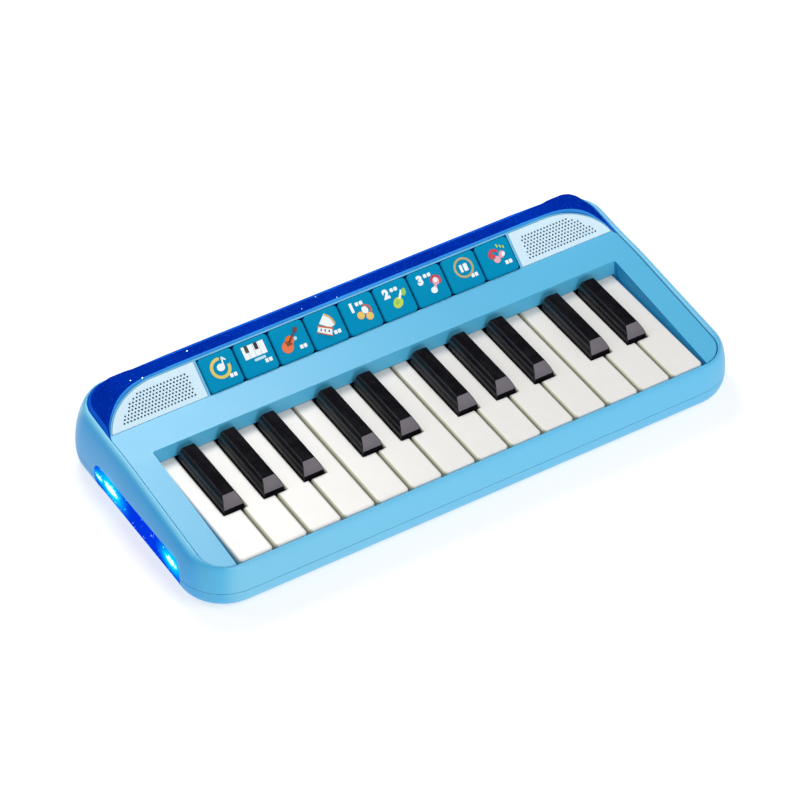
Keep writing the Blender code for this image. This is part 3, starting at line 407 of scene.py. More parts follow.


# Where painted light turns the case's blue paler or deeper, as the two ends of each change, and its colour
# there: a painted sheen along the front wall, painted shade on the side walls and a painted highlight along
# the rim's crest.
FRONT_Y, FRONT_X, FRONT_PAINTED_SHEEN = (-0.0815, -0.0770), (-0.16, 0.17), (0.150, 0.485, 0.700)
FLANK_X, FLANK_Y, FLANK_PAINTED_SHADE = (0.1605, 0.1650), (-0.0760, -0.0600), (0.022, 0.365, 0.790)
CREST_IN_X, CREST_OUT_X, CREST_PAINTED_HIGHLIGHT = (0.1585, 0.1600), (0.1615, 0.1645), (0.160, 0.540, 0.780)
CREST_Y, CREST_Z = (-0.0700, -0.0540), (0.0220, 0.0260)
LAMP_CYAN = (0.0, 0.62, 1.0)


def lit_case(name, colour, **options):
    """Case plastic with painted light: a cyan glow painted as emission round the side lamps, a paler painted
    sheen on the front wall, painted shade on the side walls and a painted highlight on the rim's crest.
    """
    made = plastic(name, colour, **options)
    tree = made.node_tree
    coords = new_node(tree, "TexCoord").outputs["Object"]
    across, along, up = new_node(tree, "SeparateXYZ", {0: coords}).outputs
    out = math_node(tree, "ABSOLUTE", across)
    # Painted light mixed into the case's blue: a paler painted sheen on the front wall that fades to the
    # right, painted shade on the side walls and a painted highlight on the rim's crest.
    paler = ramp_node(tree, across, *FRONT_X, 1.0, 0.35, False)
    front = times(tree, ramp_node(tree, along, *FRONT_Y, 1.0, 0.0), paler)
    flank_painted_shade = times(tree, ramp_node(tree, out, *FLANK_X), ramp_node(tree, along, *FLANK_Y))
    crest_painted_highlight = times(tree, ramp_node(tree, out, *CREST_IN_X), ramp_node(tree, out, *CREST_OUT_X, 0.85, 0.0),
                  ramp_node(tree, along, *CREST_Y), ramp_node(tree, up, *CREST_Z))
    base = tree.nodes["Principled BSDF"].inputs["Base Color"].links[0].from_socket
    for share, tint in ((front, FRONT_PAINTED_SHEEN), (flank_painted_shade, FLANK_PAINTED_SHADE), (crest_painted_highlight, CREST_PAINTED_HIGHLIGHT)):
        base = mix_colour(tree, share, base, tint)
    # Painted glow: cyan emission on the case round the side lamps, standing in for their light falling on it.
    glow = math_node(tree, "POWER", lamp_glow(tree, coords, 0.0125, (1.0, 0.75, 1.0), 0.002), 1.6)
    dress(tree, {
        "Base Color": base, "Emission Color": LAMP_CYAN, "Emission Strength": times(tree, glow, 0.50),
    })
    return made


FLAKE_SCALE, DUST_SCALE = 620.0, 2600.0


def clear_blue(name, dark=(0.0, 0.018, 0.27), light=(0.0, 0.026, 0.34), lamps=False):
    """Deep blue clear plastic with glitter in it."""
    made, tree, coords = start_material(name)
    depth = noise(tree, coords, 30.0, 3.0)
    base = mix_colour(tree, ramp_node(tree, depth, 0.3, 0.7), dark, light)
    middle, drawn = cells(tree, coords, FLAKE_SCALE)
    chosen = math_node(tree, "GREATER_THAN", drawn[0], 0.80 if lamps else 0.972)
    flake = times(tree, chosen, math_node(tree, "LESS_THAN", middle, times(tree, drawn[1], 0.34)))
    dust = math_node(tree, "GREATER_THAN", cells(tree, coords, DUST_SCALE)[1][0], 0.95)
    dusted = mix_colour(tree, times(tree, dust, 0.35), base, (0.03, 0.16, 0.85))
    dress(tree, {
        "Base Color": mix_colour(tree, times(tree, flake, 0.85), dusted, (0.45, 0.72, 1.0)),
        "Metallic": times(tree, flake, 0.6),
        "Roughness": ramp_node(tree, depth, 0.3, 0.7, 0.16, 0.26),
        "Specular IOR Level": 0.0,
    })
    if not lamps:
        dress(tree, {"Emission Color": (0.0, 0.05, 1.0), "Emission Strength": 0.06})
        return made
    broken = ramp_node(tree, noise(tree, coords, 700.0, 3.0, 0.7), 0.38, 0.58, 0.35, 1.0)
    halo = lamp_glow(tree, coords, 0.0150, (1.0, 0.62, 1.0), 0.002)
    core = times(tree, lamp_glow(tree, coords, 0.0062, (1.0, 0.50, 1.5), 0.001), broken)
    glow = mix_colour(tree, halo, (0.0, 0.035, 0.95), (0.0, 0.55, 1.0))
    glow = mix_colour(tree, ramp_node(tree, core, 0.25, 0.75), glow, (0.70, 1.0, 1.0))
    soft = times(tree, math_node(tree, "POWER", halo, 1.5), 0.75)
    soft = math_node(tree, "ADD", soft, times(tree, flake, 1.6))
    hot = math_node(tree, "ADD", times(tree, core, 1.3), 0.55)
    dress(tree, {"Emission Color": glow, "Emission Strength": math_node(tree, "ADD", soft, hot)})
    return made


def metal(name, colour):
    made, tree, coords = start_material(name)
    streaks = noise(tree, coords, 500.0, 3.0, 0.6, (0.06, 1.0, 1.0))
    dress(tree, {
        "Base Color": mix_colour(tree, streaks, tuple(value * 0.86 for value in colour), colour),
        "Roughness": ramp_node(tree, streaks, 0.3, 0.7, 0.225, 0.375), "Metallic": 1.0,
    })
    return made


CASE = lit_case("case_sky_blue", (0.064, 0.425, 0.715), roughness=0.36, vary=0.015, rough_vary=0.01,
                grain=0.10, wear=0.10)
BASE = lit_case("base_sky_blue", (0.062, 0.41, 0.71), roughness=0.40, vary=0.02, rough_vary=0.01,
                grain=0.25, wear=0.10)
PANEL_BLUE = plastic("panel_sky_blue", (0.076, 0.425, 0.680), roughness=0.36, vary=0.015, rough_vary=0.008,
                     grain=0.12, wear=0.0)
# Painted light on the panel: a paler painted highlight on the well's rear top edge and a darker painted shade
# on the well's right wall.
PANEL_PAINTED_HIGHLIGHT = plastic("panel_painted_highlight", (0.30, 0.66, 0.84), roughness=0.36, vary=0.015, wear=0.0)
PANEL_SHADE = plastic("panel_shade", (0.012, 0.26, 0.54), roughness=0.5, specular=0.2, vary=0.02, wear=0.0)
GRILLE = plastic("grille_pale", (0.61, 0.80, 0.92), roughness=0.5, grain=0.35, grain_scale=2400.0, wear=0.2)
WHITE = plastic("key_white", (0.750, 0.738, 0.712), roughness=0.32, vary=0.006, rough_vary=0.015,
                grain=0.05, wear=0.1, wear_colour=(0.9, 0.9, 0.89))
# Painted shade: a darker cream on the white keys' left flanks, where the gaps between the keys are shaded.
WHITE_FLANK_PAINTED_SHADE = plastic("key_white_flank_painted_shade", (0.60, 0.60, 0.47), roughness=0.45, vary=0.02, rough_vary=0.01,
                     wear=0.0)
BLACK = plastic("key_black", (0.003, 0.003, 0.005), roughness=0.60, specular=0.02, vary=0.2, grain=0.8,
                grain_scale=1500.0, wear=0.05, wear_colour=(0.1, 0.1, 0.11))
BLACK_SHINE = plastic("key_black_side", (0.002, 0.002, 0.004), roughness=0.30, specular=0.25, vary=0.2,
                      grain=0.06, wear=0.05, wear_colour=(0.1, 0.1, 0.11))
# Painted light on the black keys: a paler painted highlight streak along the flanks and a grey painted sheen
# on the sloping fronts.
BLACK_PAINTED_HIGHLIGHT = plastic("key_black_painted_highlight", (0.030, 0.030, 0.034), roughness=0.35, specular=0.4, wear=0.0)
BLACK_FRONT_PAINTED_SHEEN = plastic("key_black_front_painted_sheen", (0.13, 0.115, 0.135), roughness=0.45, specular=0.3, vary=0.1,
                           grain=0.3, grain_scale=1500.0, wear=0.05, wear_colour=(0.2, 0.2, 0.22))
BUTTON = plastic("button_teal", (0.0, 0.262, 0.48), roughness=0.45, specular=0.02, vary=0.04, grain=0.2,
                 wear=0.25, wear_colour=(0.02, 0.42, 0.68))
CLEAR = clear_blue("clear_blue_glitter")
# Painted light on the light bar: a brighter blue painted reflection on its outer slope and a pale painted
# highlight along its inner lip.
CLEAR_SLOPE_PAINTED_REFLECTION = clear_blue("clear_blue_slope_painted_reflection", (0.004, 0.085, 0.52), (0.006, 0.125, 0.64))
CLEAR_LIP_PAINTED_HIGHLIGHT = clear_blue("clear_blue_lip_painted_highlight", (0.03, 0.24, 0.62), (0.045, 0.30, 0.72))
CLEAR_LIT = clear_blue("clear_blue_lit", lamps=True)
RUBBER = plastic("rubber_grey", (0.25, 0.25, 0.24), roughness=0.8, grain=0.5, wear=0.1)
BOARD = plastic("board_green", (0.015, 0.12, 0.045), roughness=0.45, vary=0.15, grain=0.2, coat=0.3)
DARK = plastic("dark_plastic", (0.012, 0.012, 0.014), roughness=0.45, vary=0.2, grain=0.3)
CELL = plastic("cell_wrap", (0.02, 0.022, 0.03), roughness=0.3, vary=0.1, grain=0.05, coat=0.4)
SPEAKER = plastic("speaker_black", (0.010, 0.010, 0.011), roughness=0.65, vary=0.2, grain=0.6)
STEEL = metal("bright_steel", (0.62, 0.62, 0.63))
INKS = {
    name: plastic(f"ink_{name}", colour, roughness=0.45, specular=0.25, vary=0.05, rough_vary=0.04, wear=0.05)
    for name, colour in (
        ("white", (0.86, 0.90, 0.92)), ("yellow", (0.72, 0.55, 0.09)), ("gold", (0.62, 0.42, 0.13)),
        ("tan", (0.50, 0.38, 0.14)), ("orange", (0.80, 0.13, 0.008)), ("amber", (0.86, 0.46, 0.07)),
        ("brown", (0.10, 0.025, 0.012)), ("brick", (0.55, 0.11, 0.04)), ("red", (0.62, 0.012, 0.03)),
        ("pink", (0.80, 0.36, 0.44)), ("lime", (0.50, 0.66, 0.04)), ("leaf", (0.30, 0.56, 0.08)),
        ("black", (0.01, 0.012, 0.016)), ("mist", (0.45, 0.72, 0.84)),
    )
}


# ---------------------------------------------------------------- the case's form
def seam_z(y):
    """The seam's height at y, with its bends eased."""
    for (y0, z0), (y1, z1) in zip(SEAM, SEAM[1:]):
        if y <= y1:
            break
    slope = (z1 - z0) / (y1 - y0)
    height = z0 + slope * (min(max(y, SEAM[0][0]), SEAM[-1][0]) - y0)
    for left, mid, right in zip(SEAM, SEAM[1:], SEAM[2:]):
        away = abs(y - mid[0])
        if away < SEAM_BLEND:
            turn = (right[1] - mid[1]) / (right[0] - mid[0]) - (mid[1] - left[1]) / (mid[0] - left[0])
            height += turn * (SEAM_BLEND - away) ** 2 / (4 * SEAM_BLEND)
    return height


def case_outline(side, front, rear, arc=18, sides=26, ends=20):
    inward = side / RIM[0]
    front_radius = FRONT_RADIUS + (SEAM_FRONT_RADIUS - FRONT_RADIUS) * inward
    rear_radius = REAR_RADIUS - side
    half = HALF_WIDTH - side
    low, high = -HALF_DEPTH + front, HALF_DEPTH - rear
    corners = (
        (half - rear_radius, high - rear_radius, rear_radius, 0.0),
        (rear_radius - half, high - rear_radius, rear_radius, 0.25),
        (front_radius - half, low + front_radius, front_radius, 0.5),
        (half - front_radius, low + front_radius, front_radius, 0.75),
    )
    points = []
    for number, (cx, cy, radius, turn) in enumerate(corners):
        for k in range(arc + 1):
            angle = math.tau * (turn + 0.25 * k / arc)
            points.append((cx + radius * math.cos(angle), cy + radius * math.sin(angle)))
        following = corners[(number + 1) % 4]
        angle = math.tau * following[3]
        target = (
            following[0] + following[2] * math.cos(angle), following[1] + following[2] * math.sin(angle)
        )
        last = points[-1]
        count = sides if number % 2 else ends
        for k in range(1, count):
            share = k / count
            points.append((last[0] + (target[0] - last[0]) * share, last[1] + (target[1] - last[1]) * share))
    return points


def case_ring(offsets, height):
    return [(x, y, height(y)) for x, y in case_outline(*offsets)]


def scaled(widths, factor, extra=0.0):
    return tuple(width * factor + extra for width in widths)


def crest_z(y):
    return seam_z(y) + CREST_RISE


def rear_fall(y, out):
    """How far the shoulder has fallen at y, at a distance out from the seam."""
    return out * eased(y, *REAR_FALL_Y)


def rim_ring(offsets, rise, drop=0.0):
    out = RIM[2] - offsets[2]

    def height(y):
        return PARTING_Z + (crest_z(y) - drop - PARTING_Z - rear_fall(y, out)) * rise

    return case_ring(offsets, height)


def rim_rings(inset=0.0):
    return [
        rim_ring(scaled(CREST, 1.0 - across ** RIM_POWER, inset), up ** RIM_POWER, inset)
        for across, up in quarter(26)
    ]


def base_rings(inset=0.0, top=PARTING_Z - GAP):
    rings = []
    for across, up in quarter(14):
        inward = BASE_INSET * (1.0 - across ** BASE_POWER)
        z = top - (top - FOOT - inset) * up ** BASE_POWER
        rings.append(case_ring((inward + inset,) * 3, lambda y, z=z: z))
    return rings


def side_prism(side, grow, inner, outer):
    low, high = sorted((side * inner, side * outer))
    corner = (SIDE_Z[1] - SIDE_Z[0]) * 0.40
    outline = between((SIDE_Y[0], SIDE_Z[0]), (SIDE_Y[1], SIDE_Z[1]), grow, corner, 14)
    return prism(outline, low, high, SIDEWAYS)


def cut_side_lights(thing):
    for side in (-1, 1):
        boolean(thing, [side_prism(side, GAP / 2, HALF_WIDTH - 0.012, SIDE_OUT)])


EDGE_ROUND, SKIRT_DROP = 0.0010, 0.0075
SIDES = ((-1, "left"), (1, "right"))
SIDE_OUT, SIDE_INSET = HALF_WIDTH + 0.002, 0.00025
FOOT_PLACES = [(x, y) for x in (-0.128, 0.128) for y in (-0.055, 0.055)]
BOSS_TOP, BOSS_RADIUS, WELL_DEPTH, WELL_RADII = 0.0096, 0.0042, 0.0058, (0.0030, 0.0027)
DISH_DEPTH, DISH_SHIFT = 0.0011, 0.0015


def build_case():
    rings = rim_rings()
    for across, up in quarter(6)[1:]:
        offsets = tuple(r - EDGE_ROUND * (1.0 - up) for r in RIM)
        drop = EDGE_ROUND * (1.0 - across)
        rings.append(case_ring(offsets, lambda y, drop=drop, out=RIM[2] - offsets[2]:
                               crest_z(y) - drop - rear_fall(y, out)))
    flange = (RIM[0] - 0.0018, RIM[1] - 0.0014, RIM[2] - 0.0018)
    thin = (WALL, 0.0015, WALL)
    rings += [case_ring(offsets, lambda y: seam_z(y) - SKIRT_DROP) for offsets in (RIM, flange)]
    for inward in (0.58, 0.46, 0.35, 0.23, 0.12):
        rise = max(0.0, 1.0 - (1.0 - inward) ** (2 / RIM_POWER)) ** (RIM_POWER / 2)
        offsets = tuple(min(f, c * inward + w) for f, c, w in zip(flange, CREST, thin))
        rings.append(rim_ring(offsets, rise, WALL))
    rings.append(case_ring(thin, lambda y: PARTING_Z))
    upper = add("rim", loft(rings, around=True))
    cut_side_lights(upper)
    piece("case_upper_shell", upper, "case", "case_blue", CASE, "upper_case", 40)

    floor_z = FOOT + WALL
    insets = ((WALL + BASE_INSET, floor_z), (WALL + 0.0006, floor_z + 0.0045), (WALL, PARTING_Z - GAP))
    inner = [case_ring((inset,) * 3, lambda y, z=z: z) for inset, z in insets]
    lower = add("base", loft(inner + base_rings()))
    for x, y in FOOT_PLACES:
        foot = cylinder(0.0062, (x, y, 0.0004), (x, y, FOOT + 0.0005), 40, 0.0070)
        sole = cylinder(0.0056, (x, y, 0.0), (x, y, 0.0009), 40, 0.0062)
        boolean(lower, [foot, sole], "UNION")
    for x, y in SCREW_WELLS:
        boolean(lower, [cylinder(BOSS_RADIUS, (x, y, floor_z - 0.0004), (x, y, BOSS_TOP), 24)], "UNION")
        boolean(lower, [cylinder(WELL_RADII[0], (x, y, 0.0), (x, y, WELL_DEPTH), 32, WELL_RADII[1])])
    x, y = SWITCH
    dish = loft([
        [(px, py, z) for px, py in rectangle(half_x, half_y, radius, 5, (x - DISH_SHIFT, y))]
        for half_x, half_y, radius, z in (
            (0.0082, 0.0052, 0.002, FOOT - 0.0002), (0.0068, 0.0036, 0.001, FOOT + DISH_DEPTH),
        )
    ])
    boolean(lower, [
        prism(between(*DOOR), 0.0, FOOT + DOOR_THICKNESS + GAP),
        box((x - 0.0062, y - 0.0028, 0.0), (x + 0.0032, y + 0.0028, 0.0050)),
        dish,
    ])
    cut_side_lights(lower)
    piece("case_lower_shell", lower, "case", "base_blue", BASE, "lower_case", 40)


def build_side_lights():
    for side, name in SIDES:
        rings = list(reversed(base_rings(SIDE_INSET, PARTING_Z))) + rim_rings(SIDE_INSET)[1:]
        light = add("light", loft(rings))
        boolean(light, [side_prism(side, 0.0, HALF_WIDTH - SIDE_DEPTH, SIDE_OUT)], "INTERSECT")
        piece(f"side_light_lens_{name}", light, "case", "light_blue_clear", CLEAR_LIT,
              f"side_light_{name}", 40)


# ---------------------------------------------------------------- panel and ramp
ARC_STEPS = 32


def arc_point(angle, grow):
    return (
        ARC_CENTRE[0] + (ARC_RADII[0] + grow) * math.cos(angle),
        ARC_CENTRE[1] + (ARC_RADII[1] + grow) * math.sin(angle),
    )


def arc_points(grow, front_y):
    first = math.asin((front_y - ARC_CENTRE[1]) / (ARC_RADII[1] + grow))
    span = math.pi / 2 - first
    return [arc_point(first + span * k / ARC_STEPS, grow) for k in range(ARC_STEPS + 1)]


def arc_x(y):
    """The grille's outer edge at y."""
    return ARC_CENTRE[0] + ARC_RADII[0] * math.sqrt(max(0.0, 1 - ((y - ARC_CENTRE[1]) / ARC_RADII[1]) ** 2))


def thickened(line, thickness):
    below = []
    for i, point in enumerate(line):
        here = Vector(point)
        back = (here - Vector(line[i - 1])).normalized() if i else None
        ahead = (Vector(line[i + 1]) - here).normalized() if i + 1 < len(line) else None
        back = back or ahead
        ahead = ahead or back
        middle = (back + ahead).normalized()
        down = Vector((middle.y, -middle.x))
        below.append(tuple(here + down * thickness / max(middle.dot(ahead), 0.1)))
    return list(line) + list(reversed(below))


def panel_outline(grow=0.0):
    seam = case_outline(*scaled(RIM, 1.0, GAP - grow), arc=20, sides=2, ends=2)
    front_y = min(y for _, y in seam)
    right = [p for p in seam if p[0] > WELL_TOP and front_y + 1e-6 < p[1] < BAR_TIP_Y]
    right.sort(key=lambda point: point[1])
    right.insert(0, (WELL_TOP, front_y))
    side = HALF_WIDTH - RIM[0] - GAP + grow
    half = right + [(side, BAR_TIP_Y)] + arc_points(PANEL_REAR_MARGIN, BAR_TIP_Y + 0.0008)
    return half + [(-x, y) for x, y in reversed(half)]


def on_ramp(points):
    stretch = RAMP_LENGTH / RAMP_RUN
    return [(x, (y - RAMP_Y) * stretch) for x, y in points]


def grille_outline(inset):
    front_y = RAMP_Y + RAMP_MARGIN / 2 + inset
    points = [(GRILLE_INNER + inset, front_y)] + arc_points(-inset, front_y)
    return on_ramp(points + [(GRILLE_INNER + inset, REAR_EDGE - inset)])


def mirrored(points, mirror):
    return points if mirror > 0 else [(-x, y) for x, y in points]


def well_tool():
    foot_z = KEY_TOP_Z - SKIRT_DEPTH
    front_y = -HALF_DEPTH - 0.002
    slope = (SEAM[1][1] - SEAM[0][1]) / (SEAM[1][0] - SEAM[0][0])
    front_z = SEAM[0][1] + (front_y - SEAM[0][0]) * slope
    rear_z = SEAM[1][1]

    def ring(half, rear, z_front, z_rear, radius):
        corners = [(half, front_y), (half, rear), (-half, rear), (-half, front_y)]
        outline = round_corners(corners, [0, radius, radius, 0], 6)
        return [(x, y, z_front + (z_rear - z_front) * (y - front_y) / (rear - front_y)) for x, y in outline]

    return loft([
        ring(WELL_LOW, WELL_REAR_LOW, -0.01, -0.01, 0.0008),
        ring(WELL_LOW, WELL_REAR_LOW, foot_z, foot_z, 0.0008),
        ring(WELL_TOP, WELL_REAR_TOP, front_z, rear_z, 0.0016),
        ring(WELL_TOP, WELL_REAR_TOP, front_z + 0.02, rear_z + 0.02, 0.0016),
    ])


PANEL_FRONT = (-0.0900, SEAM[0][1] - 0.00118)
PANEL_SHIFT, PANEL_HALF, PANEL_ROUND = 0.0003, 0.165, 0.00035
SKIRT_REAR_Z, TAIL_CEILING = KEY_TOP_Z - 0.0016, KEY_TOP_Z + 0.0005
SKIRT_FRONT, SKIRT_TOP, SKIRT_LAP = -0.0770, KEY_TOP_Z + 0.0070, 0.0100
ABOVE_SHELF = ((-0.09, 0.0262), (0.02, 0.0371), (0.02, 0.06), (-0.09, 0.06))


def panel_look(face):
    """1 for a painted highlight on the well's rear top edge, 2 for painted shade on its right wall."""
    x, y, z = face.center
    if abs(y - WELL_REAR_TOP) < 0.0009 and abs(x) < WELL_TOP and z > 0.034 and 0.25 < face.normal.z < 0.97:
        return 1
    at_wall = WELL_LOW - 0.001 < x < WELL_TOP + 0.0003 and z < 0.037
    return 2 if at_wall and face.normal.x < -0.5 else 0


def build_panel():
    bend = [SEAM[1][0] + SEAM_BLEND * (k / 6 - 1) for k in range(13)]
    line = [PANEL_FRONT] + [(y, seam_z(y)) for y in bend]
    line += [(RAMP_Y, RAMP_Z), (RAMP_Y + RAMP_RUN * 1.3, RAMP_Z + RAMP_RISE * 1.3)]
    panel = add("panel", prism(thickened(line, PANEL), -PANEL_HALF, PANEL_HALF, SIDEWAYS))
    skirt = add("skirt", box(
        (-WELL_TOP - SKIRT, SKIRT_FRONT, KEY_TOP_Z - SKIRT_DEPTH),
        (WELL_TOP + SKIRT, WELL_REAR_TOP + SKIRT, SKIRT_TOP),
    ))
    lap_y, tail_x = WELL_REAR_LOW - SKIRT_LAP, WELL_LOW + 0.0001
    boolean(skirt, [
        box((-0.2, lap_y, -0.01), (0.2, 0.2, SKIRT_REAR_Z)),
        box((-tail_x, lap_y, -0.01), (tail_x, 0.2, TAIL_CEILING)),
        prism(ABOVE_SHELF, -0.2, 0.2, SIDEWAYS),
    ])
    boolean(panel, [skirt.data.copy()], "UNION")
    bpy.data.objects.remove(skirt, do_unlink=True)
    plan = [(x - PANEL_SHIFT, y) for x, y in panel_outline(-0.0001)]
    boolean(panel, [prism(plan, -0.01, 0.10)], "INTERSECT")
    middle = (0.0, RAMP_LENGTH / 2)
    window = rectangle(BUTTONS * BUTTON_PITCH / 2, (RAMP_LENGTH - RAMP_MARGIN) / 2, centre=middle)
    tools = [well_tool(), prism(window, -0.006, 0.006, RAMP)]
    for mirror in (1, -1):
        for inset, low in ((0.0, -GRILLE_RECESS), (0.0022, -0.008)):
            tools.append(prism(mirrored(grille_outline(inset), mirror), low, 0.004, RAMP))
    boolean(panel, tools)
    bevelled(panel, PANEL_ROUND)
    top = piece("control_panel", panel, "case", "panel_blue", PANEL_BLUE, "top_panel", 60, True)
    more_looks(top, (PANEL_PAINTED_HIGHLIGHT, PANEL_SHADE), panel_look)


HOLE_PITCH, HOLE_ROW, HOLE_RADIUS, HOLE_ROWS = 0.00205, 0.00178, 0.00058, 8
HOLE_FIRST_X, HOLE_FIRST_S, HOLE_ARC_INSET = 0.1058, 0.00365, 0.0070
GRILLE_GAP, GRILLE_ROUND = 0.00012, 0.00018


def hole_centres():
    found = []
    for row in range(HOLE_ROWS):
        s = HOLE_FIRST_S + row * HOLE_ROW
        y = RAMP_Y + s * math.cos(RAMP_ANGLE)
        x = HOLE_FIRST_X + (HOLE_PITCH / 2 if row % 2 else 0.0)
        while x < arc_x(y) - HOLE_ARC_INSET:
            found.append((x, s))
            x += HOLE_PITCH
    return found


def build_grilles():
    top = GRILLE_THICKNESS - GRILLE_RECESS + GAP
    levels = ((HOLE_RADIUS, -0.004), (HOLE_RADIUS, top - 0.0001), (HOLE_RADIUS * 1.35, top + 0.001))
    for mirror, side in SIDES:
        outline = mirrored(grille_outline(GRILLE_GAP), mirror)
        plate = add("grille", prism(outline, top - GRILLE_THICKNESS, top))
        bevelled(plate, GRILLE_ROUND)
        bm = bmesh.new()
        for x, s in hole_centres():
            skin(bm, [
                [(mirror * x + radius * across, s + radius * up, height) for across, up in circle(14)]
                for radius, height in levels
            ])
        boolean(plate, [finished(bm)])
        plate.data.transform(RAMP)
        piece(f"grille_plate_{side}", plate, "case", "grille_white", GRILLE, f"speaker_grille_{side}", 60,
              True)


# ---------------------------------------------------------------- light bar
BAR_LINE, BAR_LIP, BAR_STRIP = 0.0015, 0.0006, (0.0016, 0.0116)
STRIP_STEPS, FIELD_STEPS = 8, 10
BAR_TURN, BAR_CORNER = (0.125, 0.145), (0.158, 0.124)
BAR_STEPS = 60
BAR_EASE, BAR_CORNER_EASE, CREST_EASE = 0.0024, 0.0050, 0.0018
BAR_LIFT, BAR_EDGE_DROP = 0.0003, 0.0002


def bar_outer(fraction):
    side = RIM[0] + GAP
    radius = REAR_RADIUS - side
    x, y = HALF_WIDTH - side, HALF_DEPTH - side
    tip_y = BAR_TIP_Y + 2 * GAP
    straight = y - radius - tip_y
    along = fraction * (straight + radius * math.pi / 2)
    if along < straight:
        return x, tip_y + along
    angle = (along - straight) / radius
    return x - radius + radius * math.cos(angle), y - radius + radius * math.sin(angle)


def soft_min(first, second, reach):
    gap = max(reach - abs(first - second), 0.0) / reach
    return min(first, second) - gap * gap * reach / 4


def bar_depth(x, y):
    """The distance of a point on the right half from the bar's outer edge."""
    side = RIM[0] + GAP
    radius = REAR_RADIUS - side
    from_side, from_rear = HALF_WIDTH - side - x, HALF_DEPTH - side - y
    if from_side < radius and from_rear < radius:
        return radius - math.hypot(radius - from_side, radius - from_rear)
    return min(from_side, from_rear)


def bar_height(x, y):
    ramp = RAMP_Z + (y - RAMP_Y) * RAMP_RISE / RAMP_RUN + BAR_LIFT
    edge = seam_z(y) + BAR_SLOPE * bar_depth(abs(x), y)
    reach = BAR_EASE + BAR_CORNER_EASE * share_of(abs(x), *BAR_TURN)
    height = soft_min(soft_min(ramp, edge, reach), BAR_CREST, CREST_EASE)
    return max(height, seam_z(y) - BAR_EDGE_DROP)


def bar_strip(x):
    """The width of the strip of painted reflection along the bar's outer edge, narrower round the corners."""
    return BAR_STRIP[0] + (BAR_STRIP[1] - BAR_STRIP[0]) * eased(abs(x), *BAR_CORNER)


def bar_section(outer, inner, marks):
    """One cut across the bar; marks takes each top point with its place in the cut."""
    span = math.hypot(inner[0] - outer[0], inner[1] - outer[1])
    lip = min(BAR_LIP, span * 0.25)
    line = 1 - min(BAR_LINE, span * 0.4) / span
    strip = min(bar_strip(outer[0]) / span, line * 0.6)
    shares = [0.0, min(0.0003 / span, strip * 0.05)]
    shares += [strip * k / STRIP_STEPS for k in range(1, STRIP_STEPS + 1)]
    shares += [strip + (line - strip) * k / FIELD_STEPS for k in range(1, FIELD_STEPS + 1)]
    shares += [1 - lip / span, 1.0]
    top = []
    for place, share in enumerate(shares):
        x = outer[0] + (inner[0] - outer[0]) * share
        y = outer[1] + (inner[1] - outer[1]) * share
        sunk = {0.0: BAR_EDGE_DROP, 1.0: lip * 0.55}.get(share, 0.0)
        top.append((x, y, bar_height(x, y) - sunk))
        marks.append((abs(x), y, place))
    return top + [(x, y, z - BAR_SKIN) for x, y, z in reversed(top)]


def build_light_bar():
    margin = PANEL_REAR_MARGIN + GAP
    first = math.asin((BAR_TIP_Y + 0.0018 - ARC_CENTRE[1]) / (ARC_RADII[1] + margin))
    right, marks = [], []
    for k in range(BAR_STEPS + 1):
        share = k / BAR_STEPS
        inner = arc_point(first + (math.pi / 2 - first) * share ** 0.8, margin)
        right.append(bar_section(bar_outer(share), inner, marks))
    rear = HALF_DEPTH - RIM[0] - GAP
    middle = [
        bar_section((x / 1000, rear), (x / 1000, REAR_EDGE + margin), marks) for x in range(110, -111, -10)
    ]
    left = [[(-x, y, z) for x, y, z in section] for section in reversed(right)]
    lens = piece("light_bar_lens", loft(right + middle + left), "case", "light_blue_clear", CLEAR,
                 "light_bar", 42)
    finder = KDTree(len(marks))
    for index, (x, y, _) in enumerate(marks):
        finder.insert((x, y, 0.0), index)
    finder.balance()

    def look(face):
        """1 on the strip of painted reflection, 2 on the pale painted highlight along the lip."""
        corners = [lens.data.vertices[index].co for index in face.vertices]
        places = [marks[finder.find((abs(corner.x), corner.y, 0.0))[1]][2] for corner in corners]
        if face.normal.z <= 0.1:
            return 0
        if max(places) <= STRIP_STEPS + 1:
            return 1
        return 2 if min(places) > STRIP_STEPS + FIELD_STEPS else 0

    more_looks(lens, (CLEAR_SLOPE_PAINTED_REFLECTION, CLEAR_LIP_PAINTED_HIGHLIGHT), look)


# ---------------------------------------------------------------- keys
def white_edge(number):
    return (number - WHITE_COUNT / 2) * WHITE_PITCH


def white_outline(number, inset=0.0):
    left = white_edge(number) + (KEY_GAP if number else 0.0) + inset
    right = white_edge(number + 1) - (KEY_GAP if number + 1 < WHITE_COUNT else 0.0) - inset
    reach = BLACK_BASE + KEY_GAP + inset
    tail_left, tail_right = left, right
    for joint, shift in BLACK_KEYS:
        if joint == number:
            tail_left = white_edge(joint) + shift + reach
        if joint == number + 1:
            tail_right = white_edge(joint) + shift - reach
    front_y, notch_y = KEY_FRONT_Y + inset, NOTCH_Y - inset
    points, radii = [(left, front_y), (right, front_y)], [WHITE_CORNER - inset] * 2
    if tail_right < right:
        points += [(right, notch_y), (tail_right, notch_y)]
        radii += [0.0006, 0.0004]
    points += [(tail_right, TAIL_Y), (tail_left, TAIL_Y)]
    radii += [0.0, 0.0]
    if tail_left > left:
        points += [(tail_left, notch_y), (left, notch_y)]
        radii += [0.0004, 0.0006]
    return round_corners(points, radii, 5), (tail_left + tail_right) / 2


